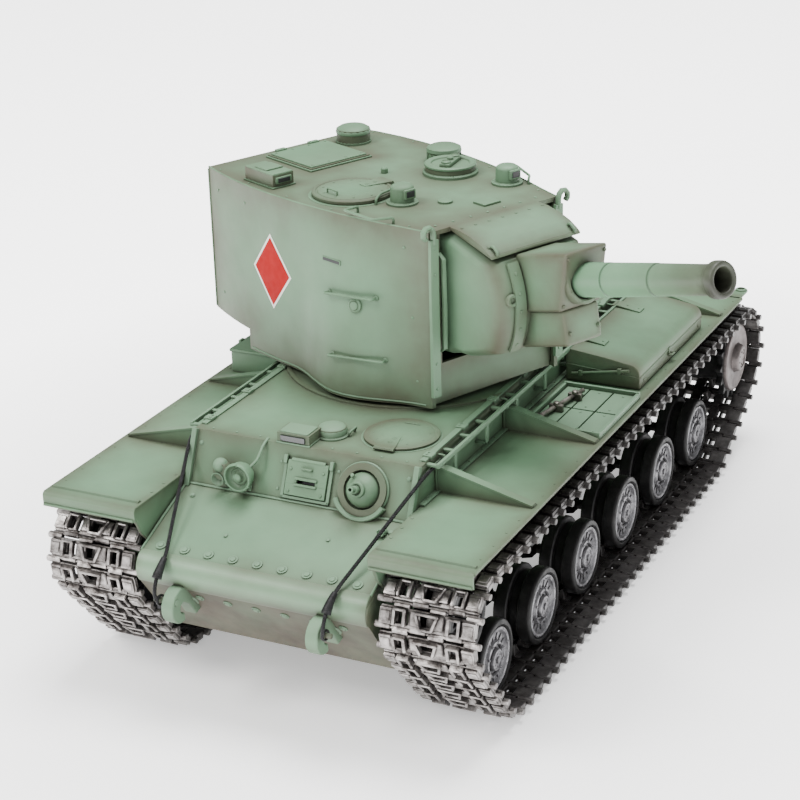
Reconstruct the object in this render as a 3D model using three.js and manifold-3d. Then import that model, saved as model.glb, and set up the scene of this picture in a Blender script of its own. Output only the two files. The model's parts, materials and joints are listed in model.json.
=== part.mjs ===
// A 1/16-scale radio-controlled heavy tank with a tall slab-sided howitzer turret.
// Millimetres. +Z is up, the front of the hull faces -Y, and +X is the tank's left.
// The origin is the centre of the flat belly plate.
import * as THREE from 'three';
import { mergeVertices } from 'three/addons/utils/BufferGeometryUtils.js';
import Module from 'manifold-3d';

const wasm = await Module();
wasm.setup();

// ---------- Driving dimensions ----------
const GAP = 0.3;                 // running and assembly gap between neighbours
const WALL = 2;                  // thickness of the moulded shells
const HULL_HALF = 56;            // half the hull's width
const FENDER_HALF = 103.75;      // half the width over the fenders
const FENDER_Z = 65;
const FENDER_THICK = 1.2;
const FENDER_FRONT = -186;
const FENDER_REAR = 166;
const ROOF_Z = 83.4;
const GROUND_Z = -26.5;

// Running gear
const TRACK_X = 81.75;           // middle of each track
const TRACK_WIDTH = 43.5;
const LINKS = 84;
const BELT = 3.2;                // thickness of the link plates
const PAD = 6;                   // thickness over the raised pads
const WHEEL_R = 18.2;
const WHEEL_HALF = 9;
const WHEEL_Z = GROUND_Z + PAD + WHEEL_R + GAP;
const WHEEL_FIRST_Y = -134;
const WHEEL_PITCH = 53.5;
const WHEELS = 6;
const ARM_BACK = 20;             // each arm trails this far behind its pivot
const ARM_RISE = 8;              // and its pivot is this far above the wheel's axle
const ROLLER_R = 9.7;
const ROLLER_Z = 41;
const ROLLER_YS = [-86, 0, 86];
const IDLER = { y: -162.5, z: 32, r: 18.6, belt: 19.5 };
const SPROCKET = { y: 177, z: 27, tip: 22.7, root: 19.2, belt: 23.5, teeth: 16 };

// Turret, in its own frame: forward is -Y, left is +X, origin on the ring's axis
const TURRET_Y = -20;
const TURRET_YAW = 65.5;         // degrees to the left, as it stands
const TURRET_BASE = 85.9;
const TURRET_TOP = 169;
const TURRET_FRONT = 57;
const TURRET_REAR = 97;
const BUSTLE_STEP = 62;
const RING_HOLE = 44;
const TRUNNION = { forward: 50, z: 136.2 };
const GUN_RISE = 14.2;           // degrees above level, as it stands
const MUZZLE = 149;              // from the trunnion to the muzzle's face
const MANTLET_HALF = 28;
const OPENING_HALF = 29.5;
const RING_TEETH = 36;
const PINION_TEETH = 9;
const GEAR_MODULE = 2.2;

// ---------- Solids ----------
const RAD = Math.PI / 180;

// Turns a closed three.js geometry into a solid with its faces pointing out.
function solidOf(geometry, place) {
  const bare = geometry.clone();
  bare.deleteAttribute('normal');
  bare.deleteAttribute('uv');
  if (place) bare.applyMatrix4(place);
  const merged = mergeVertices(bare, 1e-4);
  const points = merged.attributes.position.array;
  const corners = [];
  let volume = 0;
  const at = new THREE.Vector3();
  const bt = new THREE.Vector3();
  const ct = new THREE.Vector3();
  for (let i = 0; i < merged.index.count; i += 3) {
    const [a, b, c] = [0, 1, 2].map((k) => merged.index.getX(i + k));
    if (a === b || b === c || a === c) continue;
    corners.push(a, b, c);
    at.fromArray(points, 3 * a);
    bt.fromArray(points, 3 * b);
    ct.fromArray(points, 3 * c);
    volume += at.dot(bt.cross(ct));
  }
  if (volume < 0) corners.reverse();
  return new wasm.Manifold(new wasm.Mesh({
    numProp: 3,
    vertProperties: new Float32Array(points),
    triVerts: new Uint32Array(corners),
  }));
}

function fuse(solids) {
  return solids.reduce((all, next) => all.add(next));
}

function cut(body, tools) {
  return tools.reduce((left, tool) => left.subtract(tool), body);
}

// Matrices that carry an extrusion's own x, y, z to the named run of axes.
const TURNS = {
  x: new THREE.Matrix4().makeBasis(axis(0, 1, 0), axis(0, 0, 1), axis(1, 0, 0)),
  y: new THREE.Matrix4().makeBasis(axis(0, 0, 1), axis(1, 0, 0), axis(0, 1, 0)),
  z: new THREE.Matrix4(),
};

function axis(x, y, z) {
  return new THREE.Vector3(x, y, z);
}

function shapeOf(points) {
  return new THREE.Shape(points.map(([a, b]) => new THREE.Vector2(a, b)));
}

// Extrudes an outline from low to high along an axis. The outline is given as
// [y, z] pairs along x, [x, z] pairs along y and [x, y] pairs along z.
function prism(along, outline, low, high, hole) {
  const ordered = (list) => (along === 'y' ? list.map(([x, z]) => [z, x]) : list);
  const shape = shapeOf(ordered(outline));
  if (hole) shape.holes.push(shapeOf(ordered(hole)));
  const geometry = new THREE.ExtrudeGeometry(shape, { depth: high - low, bevelEnabled: false });
  geometry.translate(0, 0, low);
  return solidOf(geometry, TURNS[along]);
}

function box(x0, x1, y0, y1, z0, z1) {
  const geometry = new THREE.BoxGeometry(x1 - x0, y1 - y0, z1 - z0);
  geometry.translate((x0 + x1) / 2, (y0 + y1) / 2, (z0 + z1) / 2);
  return solidOf(geometry);
}

// A cylinder along an axis; a and b are its centre on the other two axes, in order.
function cylinder(along, r, low, high, a, b, sides = 16) {
  const geometry = new THREE.CylinderGeometry(r, r, high - low, sides);
  geometry.translate(0, (low + high) / 2, 0);
  if (along === 'x') geometry.rotateZ(-90 * RAD).translate(0, a, b);
  if (along === 'y') geometry.translate(a, 0, b);
  if (along === 'z') geometry.rotateX(90 * RAD).translate(a, b, 0);
  return solidOf(geometry);
}

// Revolves a closed profile of [radius, x] pairs about an axis along x.
function wheelSolid(profile, x, y, z, sides) {
  const closed = [...profile, profile[0]].map(([r, h]) => new THREE.Vector2(r, h));
  const geometry = new THREE.LatheGeometry(closed, sides);
  geometry.rotateZ(-90 * RAD).translate(x, y, z);
  return solidOf(geometry);
}

function arc(cx, cy, r, from, to, steps) {
  return Array.from({ length: steps + 1 }, (_, i) => {
    const turn = (from + ((to - from) * i) / steps) * RAD;
    return [cx + r * Math.cos(turn), cy + r * Math.sin(turn)];
  });
}

// Moves every edge of an outline inwards by a distance, with mitred corners.
function inset(outline, distance) {
  const count = outline.length;
  const area = outline.reduce((sum, [x, y], i) => {
    const [nx, ny] = outline[(i + 1) % count];
    return sum + x * ny - nx * y;
  }, 0);
  const side = Math.sign(area);
  const normal = ([ax, ay], [bx, by]) => {
    const length = Math.hypot(bx - ax, by - ay);
    return [(-side * (by - ay)) / length, (side * (bx - ax)) / length];
  };
  return outline.map((point, i) => {
    const n1 = normal(outline[(i + count - 1) % count], point);
    const n2 = normal(point, outline[(i + 1) % count]);
    const scale = distance / (1 + n1[0] * n2[0] + n1[1] * n2[1]);
    return [point[0] + (n1[0] + n2[0]) * scale, point[1] + (n1[1] + n2[1]) * scale];
  });
}

// A gear's outline: narrow straight-sided teeth, with tooth 0 centred on angle `turn`.
function gearOutline(teeth, root, tip, turn = 0) {
  const pitch = 360 / teeth;
  const corners = [[-0.3, root], [-0.14, tip], [0.14, tip], [0.3, root]];
  return Array.from({ length: teeth }, (_, i) => corners.map(([part, r]) => {
    const angle = (turn + (i + part) * pitch) * RAD;
    return [r * Math.cos(angle), r * Math.sin(angle)];
  })).flat();
}

// ---------- Materials ----------
function finish(color, roughness, metalness) {
  return new THREE.MeshStandardMaterial({ color, roughness, metalness });
}

const PAINT = finish(0x93a18e, 0.72, 0.1);
const PAINT_DARK = finish(0x6f7c6c, 0.75, 0.1);
const TRACK_METAL = finish(0x9a8f8c, 0.55, 0.8);
const WHEEL_METAL = finish(0x77777c, 0.5, 0.7);
const BLACK_METAL = finish(0x1c1c1e, 0.6, 0.5);
const HUB_METAL = finish(0x9c9292, 0.5, 0.6);
const CABLE = finish(0x141416, 0.6, 0.3);
const GLASS = finish(0xd8dde0, 0.1, 0);
const BLACK_PLASTIC = finish(0x222226, 0.6, 0);
const BOARD = finish(0x1f5a34, 0.5, 0);
const PACK_WRAP = finish(0x2b3f7a, 0.45, 0);
const GEAR_PLASTIC = finish(0xe6e2d6, 0.55, 0);

const tank = new THREE.Group();
const turret = new THREE.Group();
const gun = new THREE.Group();

function addPart(group, name, material, solid) {
  const mesh = solid.getMesh();
  const geometry = new THREE.BufferGeometry();
  geometry.setAttribute('position', new THREE.BufferAttribute(new Float32Array(mesh.vertProperties), 3));
  geometry.setIndex(new THREE.BufferAttribute(new Uint32Array(mesh.triVerts), 1));
  geometry.computeVertexNormals();
  const part = new THREE.Mesh(geometry, material);
  part.name = name;
  group.add(part);
}

// ---------- Hull ----------
// The hull's side outline as [y, z]: lower nose, rounded nose, glacis, front plate,
// roof, sloped rear deck and rounded tail.
const GLACIS_TOP = [-143, 61];
const PLATE_TOP = [-133.2, ROOF_Z];
const HULL_OUTLINE = [
  [-162, 0],
  ...arc(-180.6, 38.3, 8, 216.8, 110.6, 6),
  GLACIS_TOP,
  PLATE_TOP,
  [132, ROOF_Z],
  [174, 68.4],
  [182, 64],
  [188, 50],
  ...arc(150, 38, 38, 0, -90, 6),
];

// Everything under the line where the upper shell sits on the tub.
function belowSeam(lift) {
  const seam = 60.5 + lift;
  const glacis = 39.4 + lift;
  return prism('x', [[-215, -30], [215, -30], [215, seam], [-139, seam], [-195, glacis], [-215, glacis]], -80, 80);
}

const wheelYs = Array.from({ length: WHEELS }, (_, i) => WHEEL_FIRST_Y + i * WHEEL_PITCH);

function hullFrame() {
  const outer = prism('x', HULL_OUTLINE, -HULL_HALF, HULL_HALF);
  const inner = prism('x', inset(HULL_OUTLINE, WALL), -HULL_HALF + WALL, HULL_HALF - WALL);
  return outer.subtract(inner);
}

// A low pin or boss on both sides of the hull, reaching out to `reach`.
function bothSides(r, reach, y, z, sides = 16) {
  const root = HULL_HALF - 1;
  return [cylinder('x', r, root, reach, y, z, sides), cylinder('x', r, -reach, -root, y, z, sides)];
}

const HOOK_X = 35;
const HOOK_OUTLINE = [
  [-175, 19], [-184.5, 31.5], [-193, 34], [-198, 29.5], [-197.5, 23], [-193.5, 20],
  [-191.5, 22.5], [-193, 26.5], [-190, 28.5], [-186, 26.5], [-180.5, 18.5],
];
const HOOK_PIN = { y: -195, z: 30, r: 1.2 };

function towHook(side) {
  const low = side * HOOK_X - 2.5;
  const pin = [side * (HOOK_X + 1), side * (HOOK_X + 8)];
  return [
    prism('x', HOOK_OUTLINE, low, low + 5),
    cylinder('x', HOOK_PIN.r, Math.min(...pin), Math.max(...pin), HOOK_PIN.y, HOOK_PIN.z, 8),
  ];
}

const SWITCH = { x: 30, y: -102, travel: 4 };

function lowerHull() {
  const fittings = [
    ...ROLLER_YS.flatMap((y) => bothSides(2, TRACK_X + 7, y, ROLLER_Z, 12)),
    ...bothSides(3, TRACK_X + 8, IDLER.y, IDLER.z),
    ...bothSides(8, 60, IDLER.y, IDLER.z),
    ...bothSides(11, 61.5, SPROCKET.y, SPROCKET.z, 20),
    ...towHook(-1),
    ...towHook(1),
  ];
  const holes = [
    cylinder('x', 3.2, -HULL_HALF - 8, HULL_HALF + 8, SPROCKET.y, SPROCKET.z),
    ...wheelYs.map((y) => cylinder('x', 2.6, -60, 60, y - ARM_BACK, WHEEL_Z + ARM_RISE, 12)),
    box(SWITCH.x - 3, SWITCH.x + 3, SWITCH.y - 2.5, SWITCH.y + 2.5 + SWITCH.travel, -5, 5),
  ];
  const tub = hullFrame().intersect(belowSeam(0));
  return cut(fuse([tub, ...fittings]), holes);
}

// The front plate leans back: this frame has x across it, y up it and z out of it.
const PLATE_LEAN = Math.atan2(PLATE_TOP[0] - GLACIS_TOP[0], PLATE_TOP[1] - GLACIS_TOP[1]);

function plateFrame(x, z) {
  const y = GLACIS_TOP[0] + (z - GLACIS_TOP[1]) * Math.tan(PLATE_LEAN);
  const up = axis(0, Math.sin(PLATE_LEAN), Math.cos(PLATE_LEAN));
  const out = axis(0, -Math.cos(PLATE_LEAN), Math.sin(PLATE_LEAN));
  return new THREE.Matrix4().makeBasis(axis(1, 0, 0), up, out).setPosition(x, y, z);
}

// A cylinder standing on the front plate, from low to high along the plate's normal.
function platePost(x, z, r, low, high, sides = 20) {
  const geometry = new THREE.CylinderGeometry(r, r, high - low, sides);
  geometry.rotateX(90 * RAD).translate(0, 0, (low + high) / 2);
  return solidOf(geometry, plateFrame(x, z));
}

function plateBox(x, z, width, height, low, high) {
  const geometry = new THREE.BoxGeometry(width, height, high - low);
  geometry.translate(0, 0, (low + high) / 2);
  return solidOf(geometry, plateFrame(x, z));
}

const BALL = { x: 31, z: 70.6, r: 8.2, sunk: 1.2 };
const VISOR = { x: 3.8, z: 70.6, width: 20, height: 15.5, thick: 1.8 };
const HATCH = { x: 34, y: -106.3, r: 17, thick: 1.8 };
const LAMP = { x: -25.6, y: -148, z: 70, r: 6.3 };
const CLIP = { y: 118, z: 80 };

// A low splash ring on the roof, in front of the turret and behind it.
function splashRing() {
  const ring = cylinder('z', 62.8, ROOF_Z - 1, ROOF_Z + 1, 0, TURRET_Y, 48);
  const middle = cylinder('z', 60.8, ROOF_Z - 2, ROOF_Z + 3, 0, TURRET_Y, 48);
  const between = box(-HULL_HALF + 0.5, HULL_HALF - 0.5, -100, 60, ROOF_Z - 2, ROOF_Z + 3);
  return ring.subtract(middle).intersect(between);
}

// Raised plates on the engine deck, a periscope box, edge strips and lamp brackets.
function roofFittings() {
  const edge = HULL_HALF - 1.5;
  return [
    box(-22, 22, 62, 108, ROOF_Z - 1, ROOF_Z + 2.2),
    box(-46, -28, 66, 104, ROOF_Z - 1, ROOF_Z + 1.4),
    box(28, 46, 66, 104, ROOF_Z - 1, ROOF_Z + 1.4),
    box(-14, 2, -133, -121.5, ROOF_Z - 1, ROOF_Z + 5),
    cylinder('z', 6.5, ROOF_Z - 1, ROOF_Z + 4.2, 5, -117, 16),
    box(LAMP.x - 1.5, LAMP.x + 1.5, LAMP.y + 3, LAMP.y + 11, LAMP.z - 7.5, LAMP.z - 4.5),
    box(LAMP.x - 12, LAMP.x - 8, LAMP.y + 3, LAMP.y + 11, LAMP.z - 3, LAMP.z + 1),
    cylinder('y', 4, LAMP.y + 1, LAMP.y + 5, LAMP.x - 10, LAMP.z + 1, 12),
    cylinder('x', 1.2, edge, HULL_HALF + 4.5, CLIP.y, CLIP.z, 8),
    cylinder('x', 1.2, -HULL_HALF - 4.5, -edge, CLIP.y, CLIP.z, 8),
  ];
}

function upperHull() {
  const ballSeat = platePost(BALL.x, BALL.z, 11.7, -4, 2.2, 24);
  const holes = [
    belowSeam(GAP),
    cylinder('z', RING_HOLE, ROOF_Z - 5, ROOF_Z + 1.2, 0, TURRET_Y, 48),
    cylinder('z', HATCH.r - 2.5, ROOF_Z - 5, ROOF_Z + 5, HATCH.x, HATCH.y, 20),
    platePost(BALL.x, BALL.z, BALL.r + GAP + 0.2, -9, 9, 24),
    plateBox(VISOR.x, VISOR.z, VISOR.width - 5, VISOR.height - 5, -5, 5),
  ];
  return cut(fuse([hullFrame(), ballSeat, splashRing(), ...roofFittings()]), holes);
}

function driverVisor() {
  const flap = plateBox(VISOR.x, VISOR.z, VISOR.width, VISOR.height, GAP, GAP + VISOR.thick);
  const slit = plateBox(VISOR.x, VISOR.z - 1.5, 9, 1, -1, 4);
  return flap.subtract(slit);
}

function hullHatch() {
  const low = ROOF_Z + GAP;
  const lid = cylinder('z', HATCH.r, low, low + HATCH.thick, HATCH.x, HATCH.y, 28);
  const knuckle = box(HATCH.x - 5, HATCH.x + 5, HATCH.y - HATCH.r - 2, HATCH.y - HATCH.r + 2, low, low + 1.8);
  return lid.add(knuckle);
}

// The machine gun's ball, sunk behind the plate's face, with a short barrel.
function ballMount() {
  const ball = new THREE.SphereGeometry(BALL.r, 18, 10);
  ball.translate(0, 0, -BALL.sunk);
  return solidOf(ball, plateFrame(BALL.x, BALL.z)).add(platePost(BALL.x, BALL.z, 1.5, 4, 13, 10));
}

function headlight() {
  const bucket = new THREE.LatheGeometry([
    [0, 0], [LAMP.r, 0], [LAMP.r, 2.4], [LAMP.r - 1.2, 5.5], [3, 8], [0, 8],
  ].map(([r, h]) => new THREE.Vector2(r, h)), 20);
  return solidOf(bucket.translate(LAMP.x, LAMP.y - 5, LAMP.z + 2));
}

// ---------- Fenders ----------
const STRUT_YS = [-119, -45.5, 134];

function span(side, near, far) {
  return side > 0 ? [near, far] : [-far, -near];
}

function fender(side) {
  const inner = HULL_HALF + GAP;
  const [x0, x1] = span(side, inner, FENDER_HALF);
  const top = FENDER_Z + FENDER_THICK;
  const plate = box(x0, x1, FENDER_FRONT, FENDER_REAR, FENDER_Z, top);
  const lip = box(x0, x1, FENDER_FRONT, FENDER_FRONT + 1, FENDER_Z - 5.5, FENDER_Z + 1);
  const struts = STRUT_YS.map((y) => prism('y', [
    [side * inner, FENDER_Z + 0.5], [side * (FENDER_HALF - 2), FENDER_Z + 0.5],
    [side * (FENDER_HALF - 2), top + 1], [side * inner, top + 12.5],
  ], y - 0.6, y + 0.6));
  const [t0, t1] = span(side, FENDER_HALF - 8, FENDER_HALF - 1);
  const tab = box(t0, t1, FENDER_REAR - 1, FENDER_REAR + 15, FENDER_Z, top);
  const eye = cylinder('z', 1.8, FENDER_Z - 2, top + 2, side * (FENDER_HALF - 4.5), FENDER_REAR + 11, 12);
  return fuse([plate, lip, ...struts, tab]).subtract(eye);
}

function stowageBox() {
  const low = FENDER_Z + FENDER_THICK + GAP;
  const outline = [
    [60, low], [98, low], [98, low + 6], ...arc(92, low + 6.5, 6, 0, 80, 3),
    [62.5, low + 16.6], [60, low + 16],
  ];
  return prism('y', outline, 22, 114);
}

// ---------- Tow cables ----------
const CABLE_D = 1.8;
const EYE = { outer: 3.2, inner: 1.7, half: 0.9 };

// The route of one cable: from its front eye on the tow hook over the nose, taut to the
// top corner of the front plate and back along the hull's side to its clip.
const CABLE_ROUTE = [
  [40.4, -198.1, 31.2], [40.8, -198.2, 35.0], [41.0, -195.6, 40.2], [41.2, -190.6, 44.6],
  [41.8, -185.6, 47.6], [44.0, -178.4, 52.2], [47.2, -168.4, 58.4], [50.4, -158.2, 64.8],
  [53.6, -148.0, 71.2], [56.2, -139.8, 76.2], [57.8, -133.0, 79.4], [58.0, -124.0, 80.0],
  [58.0, -100.0, 80.0], [58.0, -60.0, 80.0], [58.0, -20.0, 80.0], [58.0, 20.0, 80.0],
  [58.0, 60.0, 80.0], [58.0, 90.0, 80.0], [58.0, 115.3, 80.0],
];
const CABLE_STEPS = 40;

function cableEye(side, x, y, z) {
  const ring = cylinder('x', EYE.outer, side * x - EYE.half, side * x + EYE.half, y, z, 12);
  return ring.subtract(cylinder('x', EYE.inner, side * x - 2, side * x + 2, y, z, 10));
}

function towCable(side) {
  const curve = new THREE.CatmullRomCurve3(CABLE_ROUTE.map(([x, y, z]) => axis(side * x, y, z)), false, 'centripetal');
  const section = shapeOf(arc(0, 0, CABLE_D / 2, 0, 315, 7));
  const tube = new THREE.ExtrudeGeometry(section, { steps: CABLE_STEPS, extrudePath: curve });
  return fuse([
    solidOf(tube),
    cableEye(side, 40, HOOK_PIN.y, HOOK_PIN.z),
    cableEye(side, 58, CLIP.y, CLIP.z),
  ]);
}

// ---------- Running gear ----------
const ROAD_WHEEL_PROFILE = [
  [2.8, -9], [18.2, -9], [18.2, -2.2], [15.4, -2.2], [15.4, 2.2], [18.2, 2.2], [18.2, 9],
  [14.6, 9], [14, 6.6], [6, 6.6], [5, 10.4], [0, 10.4], [0, 7.5], [2.8, 7.5],
];
const ROLLER_PROFILE = [
  [2.3, -7], [9.7, -7], [9.7, -2.4], [7.6, -2.4], [7.6, 2.4], [9.7, 2.4], [9.7, 7], [4, 7],
  [4, 9.4], [0, 9.4], [0, 7.6], [2.3, 7.6],
];
const IDLER_PROFILE = [
  [3.3, -9], [18.6, -9], [18.6, -2.4], [15.6, -2.4], [15.6, 2.4], [18.6, 2.4], [18.6, 9],
  [13.4, 9], [12.8, 5.6], [6.5, 5.6], [6, 10.6], [0, 10.6], [0, 8.6], [3.3, 8.6],
];

// Turns a profile end for end for the right side, so hub caps face outwards.
function facing(side, profile) {
  return side > 0 ? profile : profile.map(([r, x]) => [r, -x]);
}

function swingArm(side, y) {
  const pivot = [y - ARM_BACK, WHEEL_Z + ARM_RISE];
  const [x0, x1] = span(side, 58.3, 63.3);
  const tilt = Math.atan2(-ARM_RISE, ARM_BACK) / RAD;
  const outline = [
    ...arc(pivot[0], pivot[1], 4.2, tilt + 90, tilt + 270, 6),
    ...arc(y, WHEEL_Z, 4.8, tilt - 90, tilt + 90, 6),
  ];
  const [p0, p1] = span(side, 50, 60);
  const [a0, a1] = span(side, 62, TRACK_X - 3);
  return fuse([
    prism('x', outline, x0, x1),
    cylinder('x', 2.3, p0, p1, pivot[0], pivot[1], 12),
    cylinder('x', 2.5, a0, a1, y, WHEEL_Z, 12),
  ]);
}

// Two toothed rings on a drum, with a broad hub plate outside and a shaft inside.
function sprocket(side) {
  const teeth = gearOutline(SPROCKET.teeth, SPROCKET.root, SPROCKET.tip);
  const moved = teeth.map(([y, z]) => [y + SPROCKET.y, z + SPROCKET.z]);
  const place = (near, far) => prism('x', moved, ...span(side, near, far));
  const round = (r, near, far, sides) => cylinder('x', r, ...span(side, near, far), SPROCKET.y, SPROCKET.z, sides);
  return fuse([
    place(64.5, 68),
    place(93, 96.5),
    round(15.5, 66, 95, 20),
    round(18.6, 96, 98.6, 24),
    round(6.5, 98, 101.5, 16),
    round(2.8, 26, 67, 12),
  ]);
}

// The belt's inner path as straight runs and arcs around the wheels, counterclockwise
// in [y, z] seen from +X: circles are joined by their outer tangents.
const BELT_CIRCLES = [
  [WHEEL_FIRST_Y, WHEEL_Z, WHEEL_R + GAP],
  [WHEEL_FIRST_Y + (WHEELS - 1) * WHEEL_PITCH, WHEEL_Z, WHEEL_R + GAP],
  [SPROCKET.y, SPROCKET.z, SPROCKET.belt],
  [ROLLER_YS[2], ROLLER_Z, ROLLER_R + 0.9],
  [ROLLER_YS[0], ROLLER_Z, ROLLER_R + 0.9],
  [IDLER.y, IDLER.z, IDLER.belt],
];

function beltPath() {
  const count = BELT_CIRCLES.length;
  const headings = BELT_CIRCLES.map(([y, z, r], i) => {
    const [ny, nz, nr] = BELT_CIRCLES[(i + 1) % count];
    const distance = Math.hypot(ny - y, nz - z);
    return Math.atan2(nz - z, ny - y) + Math.asin((r - nr) / distance);
  });
  const pieces = [];
  BELT_CIRCLES.forEach(([y, z, r], i) => {
    const before = headings[(i + count - 1) % count] - Math.PI / 2;
    const turn = (headings[i] - headings[(i + count - 1) % count] + 4 * Math.PI) % (2 * Math.PI);
    pieces.push({ y, z, r, from: before, turn, length: r * turn });
    const [ny, nz, nr] = BELT_CIRCLES[(i + 1) % count];
    const out = headings[i] - Math.PI / 2;
    const start = [y + r * Math.cos(out), z + r * Math.sin(out)];
    const end = [ny + nr * Math.cos(out), nz + nr * Math.sin(out)];
    pieces.push({ start, end, out, length: Math.hypot(end[0] - start[0], end[1] - start[1]) });
  });
  return pieces;
}

// The point at a distance along the belt, moved outwards by `lift`.
function beltPoint(pieces, distance, lift) {
  const total = pieces.reduce((sum, piece) => sum + piece.length, 0);
  let left = ((distance % total) + total) % total;
  const piece = pieces.find((one) => {
    if (left <= one.length) return true;
    left -= one.length;
    return false;
  });
  if (piece.start) {
    const part = left / piece.length;
    const y = piece.start[0] + (piece.end[0] - piece.start[0]) * part;
    const z = piece.start[1] + (piece.end[1] - piece.start[1]) * part;
    return [y + lift * Math.cos(piece.out), z + lift * Math.sin(piece.out)];
  }
  const angle = piece.from + (piece.turn * left) / piece.length;
  return [piece.y + (piece.r + lift) * Math.cos(angle), piece.z + (piece.r + lift) * Math.sin(angle)];
}

function track(side) {
  const pieces = beltPath();
  const pitch = pieces.reduce((sum, piece) => sum + piece.length, 0) / LINKS;
  const corners = [[0.08, BELT], [0.14, PAD], [0.86, PAD], [0.92, BELT]];
  const outer = [];
  const inner = [];
  for (let link = 0; link < LINKS; link += 1) {
    corners.forEach(([part, lift]) => outer.push(beltPoint(pieces, (link + part) * pitch, lift)));
    [0, 0.5].forEach((part) => inner.push(beltPoint(pieces, (link + part) * pitch, 0)));
  }
  return prism('x', outer, ...span(side, TRACK_X - TRACK_WIDTH / 2, TRACK_X + TRACK_WIDTH / 2), inner);
}

// ---------- Inside the hull ----------
function driveUnit() {
  const housing = prism('x', [
    [118, 4], [160, 4], [172, 12], [181, 23], [183, 38], [179, 46], [140, 46], [118, 34],
  ], -34, 34);
  const motors = [-1, 1].map((side) => cylinder('y', 11, 84, 122, side * 18, 19, 20));
  const shaftHoles = cylinder('x', 3.1, 24, 40, SPROCKET.y, SPROCKET.z);
  const shaftHolesRight = cylinder('x', 3.1, -40, -24, SPROCKET.y, SPROCKET.z);
  return cut(fuse([housing, ...motors]), [shaftHoles, shaftHolesRight]);
}

function controlBoard() {
  const legs = [-28, 28].flatMap((x) => [-128, -84].map((y) => box(x - 2, x + 2, y - 2, y + 2, WALL + GAP, 31)));
  return fuse([
    box(-32, 32, -132, -80, 30, 31.6),
    ...legs,
    box(-20, -2, -124, -110, 31, 36),
    box(6, 24, -120, -96, 31, 34.5),
    box(-24, -10, -100, -88, 31, 38),
  ]);
}

function powerSwitch() {
  const low = WALL + GAP;
  return fuse([
    box(SWITCH.x - 2.5, SWITCH.x + 2.5, SWITCH.y - 2, SWITCH.y + 2, -0.9, low + 1),
    box(SWITCH.x - 4.5, SWITCH.x + 4.5, SWITCH.y - 6, SWITCH.y + 9, low, low + 1.4),
  ]);
}

const PITCH_R = (RING_TEETH * GEAR_MODULE) / 2;
const PINION_PITCH_R = (PINION_TEETH * GEAR_MODULE) / 2;
const PINION_Y = TURRET_Y + PITCH_R + PINION_PITCH_R + 0.4;
const GEAR_Z = [74.6, 79.2];

// The pinion stands behind the ring gear, with a gap of its own facing a ring tooth.
function traversePinion() {
  const outline = gearOutline(PINION_TEETH, PINION_PITCH_R - 2.6, PINION_PITCH_R + 1.7, -90 + 180 / PINION_TEETH);
  const moved = outline.map(([x, y]) => [x, y + PINION_Y]);
  return prism('z', moved, GEAR_Z[0], GEAR_Z[1]).add(cylinder('z', 2, 70, 75, 0, PINION_Y, 10));
}

function traverseMotor() {
  const can = cylinder('z', 10, 42, 71, 0, PINION_Y, 20);
  const bracket = box(-16, 16, PINION_Y - 6, PINION_Y + 12, 68, 70.6);
  const posts = [-14, 14].map((x) => box(x - 2, x + 2, PINION_Y + 6, PINION_Y + 11, 68, ROOF_Z - WALL - GAP));
  return fuse([can, bracket, ...posts]).subtract(cylinder('z', 2.3, 66, 75, 0, PINION_Y, 12));
}

// ---------- Turret ----------
// Half the turret's width at a distance forward of the ring's axis: at the roof it
// swells gently to the middle of the bustle, and at the foot it also bulges over the ring.
const ROOF_HALVES = [
  [-97, 48], [-86, 50.4], [-72, 52.6], [-56, 53.8], [-38, 54], [-20, 53], [-6, 51.6],
  [8, 49.8], [20, 47.6], [32, 44.8], [44, 41.6], [57, 38.6],
];
const FOOT_BULGE = { size: 11, centre: 15, half: 43 };

function roofHalf(forward) {
  const next = Math.max(1, ROOF_HALVES.findIndex(([f]) => f >= forward - 1e-6));
  const [f0, h0] = ROOF_HALVES[next - 1];
  const [f1, h1] = ROOF_HALVES[next];
  return h0 + ((h1 - h0) * (forward - f0)) / (f1 - f0);
}

function footBulge(forward) {
  const away = Math.abs(forward - FOOT_BULGE.centre) / FOOT_BULGE.half;
  return away < 1 ? FOOT_BULGE.size * Math.cos((away * Math.PI) / 2) ** 2 : 0;
}

// The turret's block from foot to roof: an extrusion two units wide, each point of
// which is then moved out to the wall's place at its own height.
function turretBlock(shrink, low, high) {
  const fronts = ROOF_HALVES.map(([f]) => Math.min(Math.max(f, -TURRET_REAR + shrink), TURRET_FRONT - shrink));
  const outline = [...fronts.map((f) => [-1, -f]), ...fronts.map((f) => [1, -f]).reverse()];
  const geometry = new THREE.ExtrudeGeometry(shapeOf(outline), { depth: high - low, bevelEnabled: false });
  geometry.translate(0, 0, low);
  const points = geometry.attributes.position;
  for (let i = 0; i < points.count; i += 1) {
    const forward = -points.getY(i);
    const height = (points.getZ(i) - TURRET_BASE) / (TURRET_TOP - TURRET_BASE);
    const half = roofHalf(forward) + footBulge(forward) * (1 - height) - shrink;
    points.setX(i, points.getX(i) * half);
  }
  return solidOf(geometry);
}

const DOOR = { half: 15, low: 108, high: 152, thick: 2.4 };
const LID = { x: -26, forward: -12, r: 19, thick: 2.4 };
const FRONT_RECESS = 3.2;
const BROW_OUTLINE = [
  [-TURRET_FRONT + 3, 167.4], [-TURRET_FRONT + 3, TURRET_TOP], [-58.5, TURRET_TOP],
  [-84, 162], [-83.6, 160.5], [-58, 167.4],
];

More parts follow.
